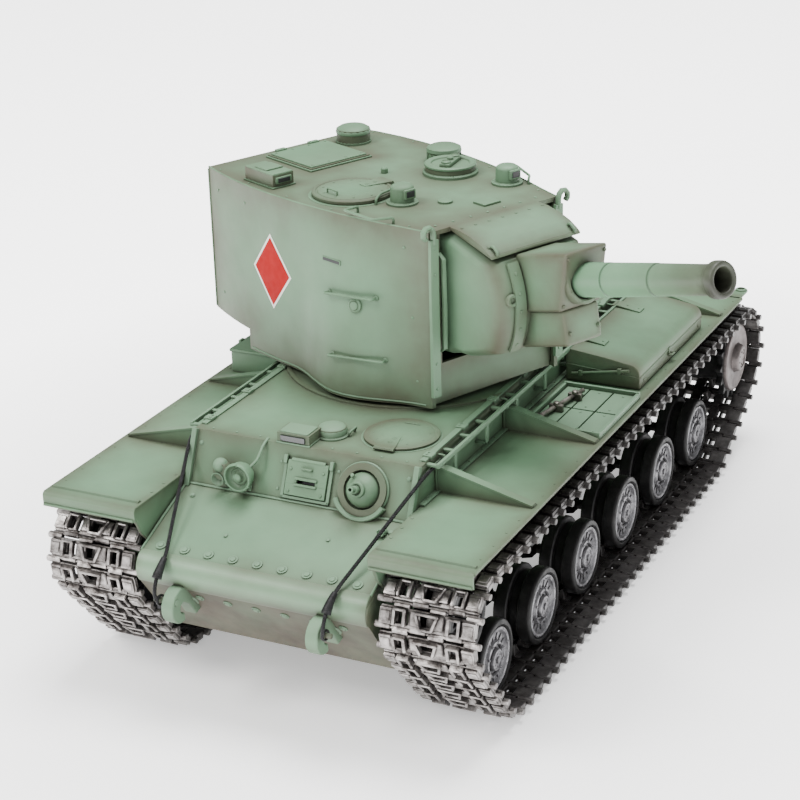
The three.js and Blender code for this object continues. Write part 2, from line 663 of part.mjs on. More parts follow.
function roofPieces() {
  const top = TURRET_TOP;
  return [
    cylinder('z', 5.2, top - 1, top + 7.5, -18.5, -15, 14),
    cylinder('z', 5.2, top - 1, top + 7.5, 36.3, -25.5, 14),
    cylinder('z', 12, top - 1, top + 4.2, 28.5, 6, 20),
    cylinder('z', 8, top - 1, top + 7, 40, 24, 16),
    cylinder('z', 8.5, top - 1, top + 7, 30, 82, 16),
    box(-18, 18, 54, 89, top - 1, top + 1.4),
    box(-48, -36, 44, 66, top - 1, top + 6.5),
  ];
}

function turretShell() {
  const outer = turretBlock(0, TURRET_BASE, TURRET_TOP);
  const inner = turretBlock(WALL, TURRET_BASE + WALL, TURRET_TOP - WALL);
  const under = prism('x', [[BUSTLE_STEP, 80], [110, 80], [110, 97.6], [BUSTLE_STEP, 96]], -70, 70);
  const innerUnder = prism('x', [
    [BUSTLE_STEP - WALL, 82], [110, 82], [110, 97.6 + WALL], [BUSTLE_STEP - WALL, 96 + WALL],
  ], -70, 70);
  const cavity = inner.subtract(innerUnder);
  const recess = box(-36.4, 36.4, -TURRET_FRONT - 1, -TURRET_FRONT + FRONT_RECESS, TURRET_BASE - 1, TURRET_TOP - WALL);
  const plate = box(-37.4, 37.4, -TURRET_FRONT + FRONT_RECESS, -TURRET_FRONT + FRONT_RECESS + WALL, TURRET_BASE, TURRET_TOP - 1);
  const holes = [
    box(-OPENING_HALF, OPENING_HALF, -TURRET_FRONT - 2, -TURRET_FRONT + 8, TRUNNION.z - 31.4, TURRET_TOP - WALL),
    cylinder('z', 42, TURRET_BASE - 2, TURRET_BASE + 4, 0, 0, 40),
    cylinder('z', LID.r - 3, TURRET_TOP - 5, TURRET_TOP + 5, LID.x, -LID.forward, 24),
    box(-DOOR.half + 2, DOOR.half - 2, TURRET_REAR - 5, TURRET_REAR + 3, DOOR.low + 2, DOOR.high - 2),
  ];
  const brow = prism('x', BROW_OUTLINE, -26, 26);
  const walls = cut(outer, [under, cavity, recess]);
  return cut(fuse([walls, plate, brow, ...roofPieces()]), holes);
}

// The turret's floor: a flange inside the shell, a neck through the hull's roof, the
// ring gear under it, and two arms that carry the gun's trunnions.
function turretBase() {
  const floorLow = TURRET_BASE + WALL + GAP;
  const ring = gearOutline(RING_TEETH, PITCH_R - 2.6, PITCH_R + 1.7, 90 - TURRET_YAW);
  const gear = prism('z', ring, GEAR_Z[0], GEAR_Z[1]);
  const floor = cylinder('z', 46, floorLow, floorLow + 2.2, 0, 0, 40);
  const neck = cylinder('z', 34, GEAR_Z[1] - 1, floorLow + 1, 0, 0, 40);
  const wires = cylinder('z', 20, GEAR_Z[0] - 3, floorLow + 5, 0, 0, 28);
  const back = -TRUNNION.forward + 12;
  const arms = [-1, 1].map((side) => {
    const [x0, x1] = span(side, 20, 23);
    const post = box(x0, x1, back, back + 11, floorLow + 1, TRUNNION.z + 5);
    const reach = box(x0, x1, -TRUNNION.forward - 5, back + 2, TRUNNION.z - 5, TRUNNION.z + 5);
    return post.add(reach);
  });
  const pinHole = cylinder('x', 3.3, -30, 30, -TRUNNION.forward, TRUNNION.z);
  return cut(fuse([gear, floor, neck, ...arms]), [wires, pinHole]);
}

function turretHatch() {
  const low = TURRET_TOP + GAP;
  const lid = cylinder('z', LID.r, low, low + LID.thick, LID.x, -LID.forward, 28);
  const hinge = box(LID.x + LID.r - 2, LID.x + LID.r + 2.5, -LID.forward - 5, -LID.forward + 5, low, low + 2);
  return lid.add(hinge);
}

function rearDoor() {
  const [y0, y1] = [TURRET_REAR + GAP, TURRET_REAR + GAP + DOOR.thick];
  const plate = box(-DOOR.half, DOOR.half, y0, y1, DOOR.low, DOOR.high);
  const knuckles = [116, 140].map((z) => box(DOOR.half - 1, DOOR.half + 3, y0, y1, z, z + 6));
  return fuse([plate, ...knuckles]);
}

// ---------- Gun: its own frame has the trunnion at the origin and the bore along -Y ----------
const MANTLET_OUTLINE = [
  ...arc(0, 0, 41.5, -43, 17.8, 7),
  [31.2 * Math.cos(58.8 * RAD), 31.2 * Math.sin(58.8 * RAD)],
  ...arc(0, 0, 30, 74, 104, 2),
  ...arc(0, 0, 28.5, -104, -80, 2),
  [32 * Math.cos(-67.7 * RAD), 32 * Math.sin(-67.7 * RAD)],
].map(([forward, z]) => [-forward, z]);
const BORE_SLEEVE = 7.9;
const BOX_FRONT = 72;

function mantlet() {
  const outer = prism('x', MANTLET_OUTLINE, -MANTLET_HALF, MANTLET_HALF);
  const side = MANTLET_HALF - 2.2;
  const inner = prism('x', inset(MANTLET_OUTLINE, 2.2), -side, side);
  const back = box(-side, side, -6, 20, -26, 26);
  const upper = prism('x', [[-38, 14.2], [-BOX_FRONT, 13.8], [-61.8, -11.6], [-36, -11.6]], -12.6, 12.6);
  const lower = prism('x', [[-36, -11], [-61.8, -11], [-61, -27.6], [-30, -28.6]], -10.6, 10.6);
  const sleeve = cylinder('y', BORE_SLEEVE + GAP, -90, 0, 0, 0, 20);
  return cut(fuse([outer, upper, lower]), [inner, back, sleeve]);
}

function gunBarrel() {
  const profile = [
    [5.1, -MUZZLE], [7.7, -MUZZLE], [7.7, -144], [6.5, -143], [6.4, -138], [6.9, -113], [6.6, -112.6],
    [6.6, -112], [7.1, -111.6], [7.3, -85], [7, -84.6], [7, -84], [7.5, -83.6], [7.5, -33],
    [0, -33], [0, -100], [5.1, -100],
  ];
  const closed = [...profile, profile[0]].map(([r, h]) => new THREE.Vector2(r, h));
  return solidOf(new THREE.LatheGeometry(closed, 24));
}

// The gun unit: a gearbox block with the trunnion pins, which also grips the barrel.
function gunUnit() {
  return fuse([
    box(-14, 14, -20, 26, -13, 13),
    box(-10, 10, -32.5, -19, -9, 9),
    cylinder('y', 9, 25, 46, 0, 0, 16),
    cylinder('x', 3, -25.2, 25.2, 0, 0, 14),
  ]);
}

// ---------- Assembly ----------
addPart(tank, 'lower_hull', PAINT_DARK, lowerHull());
addPart(tank, 'upper_hull', PAINT, upperHull());
addPart(tank, 'driver_visor', PAINT, driverVisor());
addPart(tank, 'hull_hatch', PAINT, hullHatch());
addPart(tank, 'ball_mount', PAINT, ballMount());
addPart(tank, 'headlight', PAINT, headlight());
addPart(tank, 'stowage_box', PAINT, stowageBox());
addPart(tank, 'battery_pack', PACK_WRAP, box(-24, 24, -58, 62, WALL + GAP, 26));
addPart(tank, 'control_board', BOARD, controlBoard());
addPart(tank, 'drive_unit', BLACK_PLASTIC, driveUnit());
addPart(tank, 'power_switch', BLACK_PLASTIC, powerSwitch());
addPart(tank, 'traverse_motor', BLACK_METAL, traverseMotor());
addPart(tank, 'traverse_pinion', GEAR_PLASTIC, traversePinion());

for (const [end, side] of [['left', 1], ['right', -1]]) {
  addPart(tank, `fender_${end}`, PAINT, fender(side));
  addPart(tank, `tow_cable_${end}`, CABLE, towCable(side));
  addPart(tank, `track_${end}`, TRACK_METAL, track(side));
  addPart(tank, `sprocket_${end}`, HUB_METAL, sprocket(side));
  addPart(tank, `idler_${end}`, BLACK_METAL, wheelSolid(
    facing(side, IDLER_PROFILE), side * TRACK_X, IDLER.y, IDLER.z, 20));
  wheelYs.forEach((y, i) => {
    addPart(tank, `swing_arm_${end}_${i + 1}`, BLACK_METAL, swingArm(side, y));
    addPart(tank, `road_wheel_${end}_${i + 1}`, WHEEL_METAL, wheelSolid(
      facing(side, ROAD_WHEEL_PROFILE), side * TRACK_X, y, WHEEL_Z, 16));
  });
  ROLLER_YS.forEach((y, i) => {
    addPart(tank, `return_roller_${end}_${i + 1}`, BLACK_METAL, wheelSolid(
      facing(side, ROLLER_PROFILE), side * TRACK_X, y, ROLLER_Z, 14));
  });
}

addPart(turret, 'turret_shell', PAINT, turretShell());
addPart(turret, 'turret_base', BLACK_PLASTIC, turretBase());
addPart(turret, 'turret_hatch', PAINT, turretHatch());
addPart(turret, 'rear_door', PAINT, rearDoor());
addPart(gun, 'mantlet', PAINT, mantlet());
addPart(gun, 'gun_barrel', PAINT, gunBarrel());
addPart(gun, 'gun_unit', BLACK_PLASTIC, gunUnit());

gun.position.set(0, -TRUNNION.forward, TRUNNION.z);
gun.rotation.x = -GUN_RISE * RAD;
turret.add(gun);
turret.position.set(0, TURRET_Y, 0);
turret.rotation.z = TURRET_YAW * RAD;
tank.add(turret);

export default tank;
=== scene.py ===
import json
import math

import bmesh
import bpy
from mathutils import Matrix, Vector, kdtree
from mathutils.bvhtree import BVHTree

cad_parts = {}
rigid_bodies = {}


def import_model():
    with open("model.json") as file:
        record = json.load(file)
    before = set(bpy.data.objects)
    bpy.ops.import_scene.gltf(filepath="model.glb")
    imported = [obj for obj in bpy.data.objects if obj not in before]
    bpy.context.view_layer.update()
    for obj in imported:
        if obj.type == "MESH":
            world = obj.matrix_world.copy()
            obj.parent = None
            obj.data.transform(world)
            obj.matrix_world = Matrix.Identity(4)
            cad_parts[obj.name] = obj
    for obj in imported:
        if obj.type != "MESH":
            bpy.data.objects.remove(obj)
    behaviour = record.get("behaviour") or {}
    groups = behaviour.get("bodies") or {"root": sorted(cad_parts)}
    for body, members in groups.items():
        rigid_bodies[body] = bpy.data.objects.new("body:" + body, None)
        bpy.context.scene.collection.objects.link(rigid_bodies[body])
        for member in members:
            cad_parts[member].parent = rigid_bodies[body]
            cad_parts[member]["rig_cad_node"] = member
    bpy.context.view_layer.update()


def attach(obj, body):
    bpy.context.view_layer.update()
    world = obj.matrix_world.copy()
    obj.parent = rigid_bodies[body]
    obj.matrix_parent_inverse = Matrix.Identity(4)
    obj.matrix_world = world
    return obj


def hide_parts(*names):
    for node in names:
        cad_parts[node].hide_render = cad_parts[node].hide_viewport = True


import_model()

# A radio-controlled model tank in sage green. Lengths below are in millimetres and become
# metres as each mesh is made; only the camera, the lights and the floor are in metres.
MM = 0.001
RAD = math.pi / 180

# ---------- Placement ----------
TURRET_Y = -20
TURRET_YAW = 65.5
TRUNNION = (0, -50, 136.2)
GUN_RISE = 14.2
FENDER_Z = 66.2
ROOF_Z = 83.4
TURRET_TOP = 169
TURRET_FOOT = 85.9
TURRET_FRONT, TURRET_REAR = 57, 97     # how far the walls reach from the ring's axis

HERE = Matrix.Identity(4)
TURRET = Matrix.Translation((0, TURRET_Y, 0)) @ Matrix.Rotation(TURRET_YAW * RAD, 4, "Z")
GUN = TURRET @ Matrix.Translation(TRUNNION) @ Matrix.Rotation(-GUN_RISE * RAD, 4, "X")
FLIP = Matrix.Scale(-1, 4, (1, 0, 0))
ALONG_X = Matrix.Rotation(90 * RAD, 4, "Y")      # turns +Z towards +X
ALONG_Y = Matrix.Rotation(-90 * RAD, 4, "X")     # turns +Z towards +Y
AHEAD = Matrix.Rotation(90 * RAD, 4, "X")        # turns +Z towards -Y
PROFILE = Matrix(((0, 0, 1), (1, 0, 0), (0, 1, 0))).to_4x4()     # an outline's (x, y) becomes (y, z)
CROSS = Matrix(((1, 0, 0), (0, 0, 1), (0, 1, 0))).to_4x4()       # an outline's (x, y) becomes (x, z)
MIRROR = {1: HERE, -1: FLIP}                     # from the tank's left to the side that is asked for
PLATE_LEAN = math.atan2(9.8, 22.4)               # the front plate's lean back from upright


def at(x, y, z):
    return Matrix.Translation((x, y, z))


def frame_of(origin, across, up):
    """A frame with its x along `across`, its y along `up` and its z out of the surface."""
    across, up = Vector(across).normalized(), Vector(up).normalized()
    out = across.cross(up)
    m = Matrix((across, up, out)).transposed().to_4x4()
    m.translation = Vector(origin)
    return m


def front_plate(x, z, out=0):
    """On the hull's leaning front plate: x across, y up the plate, z out of it."""
    up = (0, math.sin(PLATE_LEAN), math.cos(PLATE_LEAN))
    m = frame_of((x, -143 + (z - 61) * math.tan(PLATE_LEAN), z), (1, 0, 0), up)
    return m @ at(0, 0, out)


# ---------- Mesh code ----------
def merge(bm, part, place=HERE):
    part.transform(place)
    if place.to_3x3().determinant() < 0:
        bmesh.ops.reverse_faces(part, faces=part.faces[:])
    held = bpy.data.meshes.new("held")
    part.to_mesh(held)
    part.free()
    bm.from_mesh(held)
    bpy.data.meshes.remove(held)


def round_edges(part, offset, segments=2, least=25, shortest=0):
    """Rounds every edge that turns by more than `least` degrees and isn't shorter than `shortest`."""
    sharp = [e for e in part.edges
             if len(e.link_faces) == 2 and e.calc_face_angle(0) > least * RAD and e.calc_length() >= shortest]
    if sharp and offset > 0:
        bmesh.ops.bevel(part, geom=sharp, offset=offset, segments=segments, profile=0.5, affect="EDGES",
                        clamp_overlap=True)


def block(bm, low, high, place=HERE, edge=0.3, segments=2):
    part = bmesh.new()
    bmesh.ops.create_cube(part, size=1)
    size = [h - l for l, h in zip(low, high)]
    for v in part.verts:
        v.co = Vector([(v.co[i] + 0.5) * size[i] + low[i] for i in range(3)])
    round_edges(part, min(edge, min(size) * 0.45), segments)
    merge(bm, part, place)


def lathe(bm, profile, sides=32, place=HERE, edge=0, closed=False):
    """Revolves (radius, height) pairs about z; a radius of 0 makes a pole."""
    part = bmesh.new()
    rings = []
    for r, h in profile:
        if r < 1e-6:
            rings.append([part.verts.new((0, 0, h))])
        else:
            turns = [2 * math.pi * i / sides for i in range(sides)]
            rings.append([part.verts.new((r * math.cos(a), r * math.sin(a), h)) for a in turns])
    pairs = list(zip(rings, rings[1:]))
    if closed:
        pairs.append((rings[-1], rings[0]))
    for a, b in pairs:
        for i in range(sides):
            j = (i + 1) % sides
            if len(a) == 1 and len(b) == 1:
                continue
            if len(a) == 1:
                part.faces.new((a[0], b[j], b[i]))
            elif len(b) == 1:
                part.faces.new((a[i], a[j], b[0]))
            else:
                part.faces.new((a[i], a[j], b[j], b[i]))
    bmesh.ops.recalc_face_normals(part, faces=part.faces[:])
    round_edges(part, edge)
    merge(bm, part, place)


def disc(bm, r, low, high, place=HERE, edge=0.3, sides=24):
    """A short round post with rounded rims."""
    e = min(edge, (high - low) * 0.45, r * 0.45)
    k = e * 0.3
    lathe(bm, [(0, low), (r - e, low), (r - k, low + k), (r, low + e), (r, high - e), (r - k, high - k),
               (r - e, high), (0, high)], sides, place)


def prism(bm, outline, low, high, place=HERE, edge=0.3, segments=2):
    """Extrudes an (x, y) outline along z."""
    part = bmesh.new()
    bottom = [part.verts.new((x, y, low)) for x, y in outline]
    top = [part.verts.new((x, y, high)) for x, y in outline]
    count = len(outline)
    part.faces.new(bottom[::-1])
    part.faces.new(top)
    for i in range(count):
        j = (i + 1) % count
        part.faces.new((bottom[i], bottom[j], top[j], top[i]))
    bmesh.ops.recalc_face_normals(part, faces=part.faces[:])
    round_edges(part, edge, segments)
    merge(bm, part, place)


def sweep(bm, points, section, place=HERE, closed=False, twist=0.0):
    """Carries a closed (across, up) section along points; `twist` turns it, in degrees per mm."""
    part = bmesh.new()
    points = [Vector(p) for p in points]
    count = len(points)
    tangents = []
    for i in range(count):
        a = points[i - 1] if (i or closed) else points[0]
        b = points[(i + 1) % count] if (i < count - 1 or closed) else points[-1]
        tangents.append((b - a).normalized())
    side = tangents[0].cross(Vector((0, 0, 1)))
    if side.length < 1e-3:
        side = tangents[0].cross(Vector((0, 1, 0)))
    side.normalize()
    rings, run = [], 0.0
    for i, (p, t) in enumerate(zip(points, tangents)):
        side = (side - t * side.dot(t)).normalized()
        up = side.cross(t)
        if i:
            run += (p - points[i - 1]).length
        turn = Matrix.Rotation(run * twist * RAD, 3, t)
        rings.append([part.verts.new(p + turn @ (side * a + up * b)) for a, b in section])
    size = len(section)
    for i in range(count if closed else count - 1):
        a, b = rings[i], rings[(i + 1) % count]
        for k in range(size):
            m = (k + 1) % size
            part.faces.new((a[k], b[k], b[m], a[m]))
    if not closed:
        part.faces.new(rings[0])
        part.faces.new(rings[-1][::-1])
    bmesh.ops.recalc_face_normals(part, faces=part.faces[:])
    merge(bm, part, place)


def ring_section(r, sides=10):
    return [(r * math.cos(2 * math.pi * i / sides), r * math.sin(2 * math.pi * i / sides))
            for i in range(sides)]


def wire(bm, points, r, place=HERE, sides=10, corner=1.5, closed=False):
    """A bent wire with rounded corners."""
    points = [Vector(p) for p in points]
    path = []
    for i, p in enumerate(points):
        if (i in (0, len(points) - 1)) and not closed:
            path.append(p)
            continue
        a, b = points[i - 1], points[(i + 1) % len(points)]
        reach = min(corner, (p - a).length * 0.45, (b - p).length * 0.45)
        start, end = p + (a - p).normalized() * reach, p + (b - p).normalized() * reach
        for k in range(5):
            t = k / 4
            path.append(start * (1 - t) ** 2 + p * 2 * t * (1 - t) + end * t * t)
    sweep(bm, path, ring_section(r, sides), place, closed)


def bolt(bm, place, r=1.0, high=0.6):
    """A round-headed rivet or bolt, standing on its place's z."""
    lathe(bm, [(r, -0.1), (r, high * 0.45), (r * 0.8, high * 0.85), (r * 0.4, high), (0, high * 1.04)], 10,
          place)


def hex_bolt(bm, place, r=1.0, high=0.8):
    lathe(bm, [(r * 1.35, -0.1), (r * 1.35, 0.15), (r, 0.2), (r, high * 0.8), (r * 0.8, high), (0, high)], 6,
          place)


def ring_of(count, r, start=0):
    """Placements around a circle in the x-y plane."""
    for i in range(count):
        yield Matrix.Rotation((start + 360 * i / count) * RAD, 4, "Z") @ at(r, 0, 0)


def bolt_ring(bm, place, count, r, start, up, size, high, kind=bolt):
    """Equal bolts around a place, each `up` above it."""
    for m in ring_of(count, r, start):
        kind(bm, place @ m @ at(0, 0, up), size, high)


def arc(cx, cy, r, start, end, steps):
    return [(cx + r * math.cos((start + (end - start) * i / steps) * RAD),
             cy + r * math.sin((start + (end - start) * i / steps) * RAD)) for i in range(steps + 1)]


def loft(part, rows):
    """Skins matching rings of points into one closed body."""
    rings = [[part.verts.new(p) for p in row] for row in rows]
    part.faces.new(rings[0])
    part.faces.new(rings[-1][::-1])
    for low, high in zip(rings, rings[1:]):
        for i in range(len(low)):
            j = (i + 1) % len(low)
            part.faces.new((low[j], low[i], high[i], high[j]))
    bmesh.ops.recalc_face_normals(part, faces=part.faces[:])


# ---------- Paint masks ----------
def fine(bm, longest):
    """Splits long edges until none is longer than `longest`, on triangles."""
    bmesh.ops.triangulate(bm, faces=bm.faces[:])
    for _ in range(7):
        long_edges = [e for e in bm.edges if e.calc_length() > longest]
        if not long_edges:
            break
        bmesh.ops.subdivide_edges(bm, edges=long_edges, cuts=1)
        bmesh.ops.triangulate(bm, faces=[f for f in bm.faces if len(f.verts) > 3])


def edge_points(bm, least, spacing=1.5):
    """Points along every outward corner that turns by more than `least` degrees."""
    found = []
    for e in bm.edges:
        if len(e.link_faces) != 2 or e.calc_face_angle(0) < least * RAD or not e.is_convex:
            continue
        a, b = e.verts[0].co, e.verts[1].co
        steps = max(1, int((b - a).length / spacing))
        found += [a.lerp(b, i / steps) for i in range(steps + 1)]
    return found


def write_mask(mesh, points, reach, name="edge"):
    """Stores how near each vertex is to the points, fading over `reach` mm."""
    layer = mesh.attributes.new(name, "FLOAT", "POINT")
    if not points:
        return
    tree = kdtree.KDTree(len(points))
    for i, p in enumerate(points):
        tree.insert(p, i)
    tree.balance()
    values = []
    for v in mesh.vertices:
        distance = tree.find(v.co)[2]
        values.append(math.exp(-((distance / reach) ** 1.3)))
    layer.data.foreach_set("value", values)


# ---------- Pieces ----------
def make(name, bm, material, body, replaces=(), smooth=38, mask_points=None, reach=7):
    mesh = bpy.data.meshes.new(name)
    bm.to_mesh(mesh)
    bm.free()
    if mask_points is not None:
        write_mask(mesh, mask_points, reach)
        write_mask(mesh, mask_points, reach * 3.2, "wide")
    else:
        mesh.attributes.new("wide", "FLOAT", "POINT").data.foreach_set("value", [0.45] * len(mesh.vertices))
    mesh.transform(Matrix.Scale(MM, 4))
    mesh.shade_smooth()
    mesh.set_sharp_from_angle(angle=smooth * RAD)
    mesh.materials.append(material)
    piece = bpy.data.objects.new(name, mesh)
    bpy.context.scene.collection.objects.link(piece)
    weighted = piece.modifiers.new("normals", "WEIGHTED_NORMAL")
    weighted.keep_sharp = True
    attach(piece, body)
    if replaces:
        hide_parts(*replaces)
    return piece


CAD = {o["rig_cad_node"]: o for o in bpy.data.objects if "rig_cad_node" in o}


def cad_mesh(node):
    """A working copy of a CAD node's mesh in millimetres, cleaned of its extra seams."""
    bm = bmesh.new()
    bm.from_mesh(CAD[node].data)
    bm.transform(Matrix.Scale(1 / MM, 4))
    bmesh.ops.remove_doubles(bm, verts=bm.verts[:], dist=0.002)
    bmesh.ops.dissolve_limit(bm, angle_limit=0.6 * RAD, verts=bm.verts[:], edges=bm.edges[:])
    return bm


def refined(name, node, material, body, edge=0.35, longest=4, reach=7, extra=None, least=24,
            shortest=0):
    """A finer piece on a CAD node's own shape, with rounded edges and a mask for shading."""
    bm = cad_mesh(node)
    corners = edge_points(bm, least)
    round_edges(bm, edge, 2, least, shortest)
    fine(bm, longest)
    if extra:
        extra(bm)
    return make(name, bm, material, body, [node], mask_points=corners, reach=reach)


# ---------- Materials ----------
class Shader:
    """A node tree built by short calls; every value is a number, a colour or a socket."""

    def __init__(self, name):
        self.material = bpy.data.materials.new(name)
        self.material.use_nodes = True
        self.nodes = self.material.node_tree.nodes
        self.links = self.material.node_tree.links
        self.bsdf = self.nodes["Principled BSDF"]
        self.where = self.nodes.new("ShaderNodeTexCoord").outputs["Object"]

    def put(self, socket, value):
        if isinstance(value, bpy.types.NodeSocket):
            self.links.new(value, socket)
        elif isinstance(value, (tuple, list)) and len(value) == 3 and socket.type == "RGBA":
            socket.default_value = (*value, 1)
        else:
            socket.default_value = value

    def set(self, **values):
        for key, value in values.items():
            self.put(self.bsdf.inputs[key.replace("_", " ")], value)
        return self

    def noise(self, scale, detail=3, rough=0.55, stretch=None):
        node = self.nodes.new("ShaderNodeTexNoise")
        where = self.where
        if stretch:
            mapping = self.nodes.new("ShaderNodeMapping")
            mapping.inputs["Scale"].default_value = stretch
            self.links.new(where, mapping.inputs["Vector"])
            where = mapping.outputs["Vector"]
        self.links.new(where, node.inputs["Vector"])
        node.inputs["Scale"].default_value = scale
        node.inputs["Detail"].default_value = detail
        node.inputs["Roughness"].default_value = rough
        return node.outputs["Fac"]

    def axis(self, name):
        node = self.nodes.new("ShaderNodeSeparateXYZ")
        self.links.new(self.where, node.inputs[0])
        return node.outputs[name]

    def facing(self, name):
        """A component of the surface's own normal, in the piece's frame."""
        geometry = self.nodes.new("ShaderNodeNewGeometry")
        node = self.nodes.new("ShaderNodeSeparateXYZ")
        self.links.new(geometry.outputs["Normal"], node.inputs[0])
        return node.outputs[name]

    def mask(self, name="edge"):
        node = self.nodes.new("ShaderNodeAttribute")
        node.attribute_name = name
        return node.outputs["Fac"]

    # Ambient occlusion as a 0-1 factor, used to paint shade into corners and crevices.
    def crevice(self, distance=0.006, samples=4):
        node = self.nodes.new("ShaderNodeAmbientOcclusion")
        node.samples = samples
        node.inputs["Distance"].default_value = distance
        return self.ramp(node.outputs["AO"], 0.9, 0.35)

    def ramp(self, value, low, high, to_low=0.0, to_high=1.0):
        node = self.nodes.new("ShaderNodeMapRange")
        node.clamp = True
        self.put(node.inputs["Value"], value)
        for key, number in (("From Min", low), ("From Max", high), ("To Min", to_low), ("To Max", to_high)):
            node.inputs[key].default_value = number
        return node.outputs["Result"]

    def math(self, kind, a, b=0.0):
        node = self.nodes.new("ShaderNodeMath")
        node.operation = kind
        node.use_clamp = kind == "MULTIPLY"
        self.put(node.inputs[0], a)
        self.put(node.inputs[1], b)
        return node.outputs[0]

    def times(self, *factors):
        """The product of two or more values, clamped."""
        product = factors[0]
        for factor in factors[1:]:
            product = self.math("MULTIPLY", product, factor)
        return product

    def over(self, color, coat, *factors):
        """`coat` laid over `color` as thickly as the product of the factors."""
        return self.mix(self.times(*factors), color, coat)

    def mix(self, factor, a, b):
        node = self.nodes.new("ShaderNodeMix")
        node.data_type = "RGBA"
        self.put(node.inputs["Factor"], factor)
        self.put(node.inputs["A"], a)
        self.put(node.inputs["B"], b)
        return node.outputs["Result"]

    def bump(self, height, strength=0.2, depth=0.0003, under=None):
        node = self.nodes.new("ShaderNodeBump")
        node.inputs["Strength"].default_value = strength
        node.inputs["Distance"].default_value = depth
        self.put(node.inputs["Height"], height)
        if under is not None:
            self.links.new(under, node.inputs["Normal"])
        return node.outputs["Normal"]


def srgb(r, g, b):
    """A colour given as 0-255 screen values."""
    return tuple(((c / 255 + 0.055) / 1.055) ** 2.4 if c > 10 else c / 255 / 12.92 for c in (r, g, b))


GREEN = srgb(92, 128, 98)
GREEN_LIGHT = srgb(112, 147, 117)
GREEN_DEEP = srgb(54, 78, 58)
SMOKE = srgb(74, 60, 48)
DIRT = srgb(62, 54, 42)


def painted(name, base=GREEN, smoke=0.8, dusty=0.0, cast=0.0, light=GREEN_LIGHT, under=0.45, rough=0.5):
    """Matt airbrushed paint: drifts of tone, brown airbrushed shading at the corners, painted shade in the
    seams and on faces that look down.
    """
    s = Shader(name)
    drift = s.ramp(s.noise(14, 3, 0.6), 0.35, 0.65)
    color = s.over(base, light, drift, 0.55)
    mottle = s.ramp(s.noise(70, 4, 0.6), 0.4, 0.75)
    color = s.over(color, GREEN_DEEP, mottle, 0.12)
    streaks = s.ramp(s.noise(60, 4, 0.6, stretch=(1, 1, 0.12)), 0.56, 0.78)
    color = s.over(color, DIRT, streaks, 0.08)
    broken = s.ramp(s.noise(35, 4, 0.65), 0.2, 0.75, 0.45, 1.0)
    shade = s.times(s.mask(), broken, smoke)
    color = s.mix(shade, color, SMOKE)
    clouds = s.ramp(s.noise(19, 4, 0.6), 0.36, 0.66, 0.15, 1.0)
    haze = s.times(s.mask("wide"), clouds, smoke * 0.78)
    color = s.mix(haze, color, SMOKE)
    # Painted shade: faces that look down are painted darker brown, as strongly as `under` says.
    painted_shade_below = s.times(s.ramp(s.facing("Z"), 0.1, -0.5), s.ramp(s.noise(24, 4, 0.6), 0.25, 0.6, 0.5, 1.0))
    color = s.over(color, srgb(54, 44, 36), painted_shade_below, under)
    # Painted shade: seams and crevices darkened from ambient occlusion.
    crevice_shade = s.crevice(0.005)
    color = s.over(color, srgb(58, 58, 46), crevice_shade, 0.72)
    if dusty:
        low = s.ramp(s.axis("Z"), 0.05, -0.01)
        dust = s.times(low, s.ramp(s.noise(50, 5, 0.7), 0.3, 0.65), dusty)
        color = s.mix(dust, color, srgb(112, 104, 88))
    chips = s.ramp(s.noise(420, 3, 0.7), 0.7, 0.74)
    near = s.ramp(s.mask(), 0.9, 0.99)
    color = s.over(color, srgb(150, 156, 140), chips, near, 0.5)
    rough = s.ramp(s.noise(40, 4, 0.6), 0.3, 0.7, rough, rough + 0.16)
    grain = s.bump(s.noise(1500, 2, 0.6), 0.10, 0.0002)
    if cast:
        grain = s.bump(s.noise(260, 4, 0.62), cast, 0.0006, grain)
    s.set(Base_Color=color, Roughness=rough, Normal=grain, Specular_IOR_Level=0.42)
    return s.material


def metal(name, dark, bright, worn=0.5, rough=(0.34, 0.6), scale=160, metallic=0.85, crevice_shade_color=srgb(40, 34, 30),
          painted_shade_color=None):
    """Cast or turned metal: blotchy, scuffed bright on what stands out, with painted shade in its corners.
    Given a shade colour as its last argument, it paints that dark, less metallic colour over all but the
    forward faces near the front and the downward faces, which keep bright metal: painted light and shade by
    place and facing.
    """
    s = Shader(name)
    blotch = s.ramp(s.noise(scale, 5, 0.62), 0.36, 0.66)
    color = s.over(dark, bright, blotch, worn)
    fine_scuff = s.ramp(s.noise(scale * 6, 3, 0.7), 0.5, 0.7)
    color = s.over(color, bright, fine_scuff, 0.22)
    if painted_shade_color:
        # Painted light and shade: forward faces near the front and downward faces keep the bright metal, the
        # rest is painted dark.
        ahead = s.times(s.ramp(s.axis("Y"), -0.118, -0.152), s.ramp(s.facing("Y"), 0.2, -0.25))
        low = s.times(s.ramp(s.facing("Z"), -0.3, -0.8), 0.6)
        painted_light_faces = s.math("MAXIMUM", ahead, low)
        color = s.mix(painted_light_faces, s.mix(0.1, painted_shade_color, color), color)
        metallic = s.ramp(painted_light_faces, 0, 1, 0.35, metallic)
    # Painted shade: corners darkened from ambient occlusion.
    crevice_shade = s.crevice(0.004)
    color = s.over(color, crevice_shade_color, crevice_shade, 0.85)
    roughness = s.ramp(s.noise(scale * 1.7, 4, 0.6), 0.3, 0.7, rough[0], rough[1])
    grain = s.bump(s.noise(scale * 7, 3, 0.6), 0.22, 0.0003)
    s.set(Base_Color=color, Metallic=metallic, Roughness=roughness, Normal=grain)
    return s.material


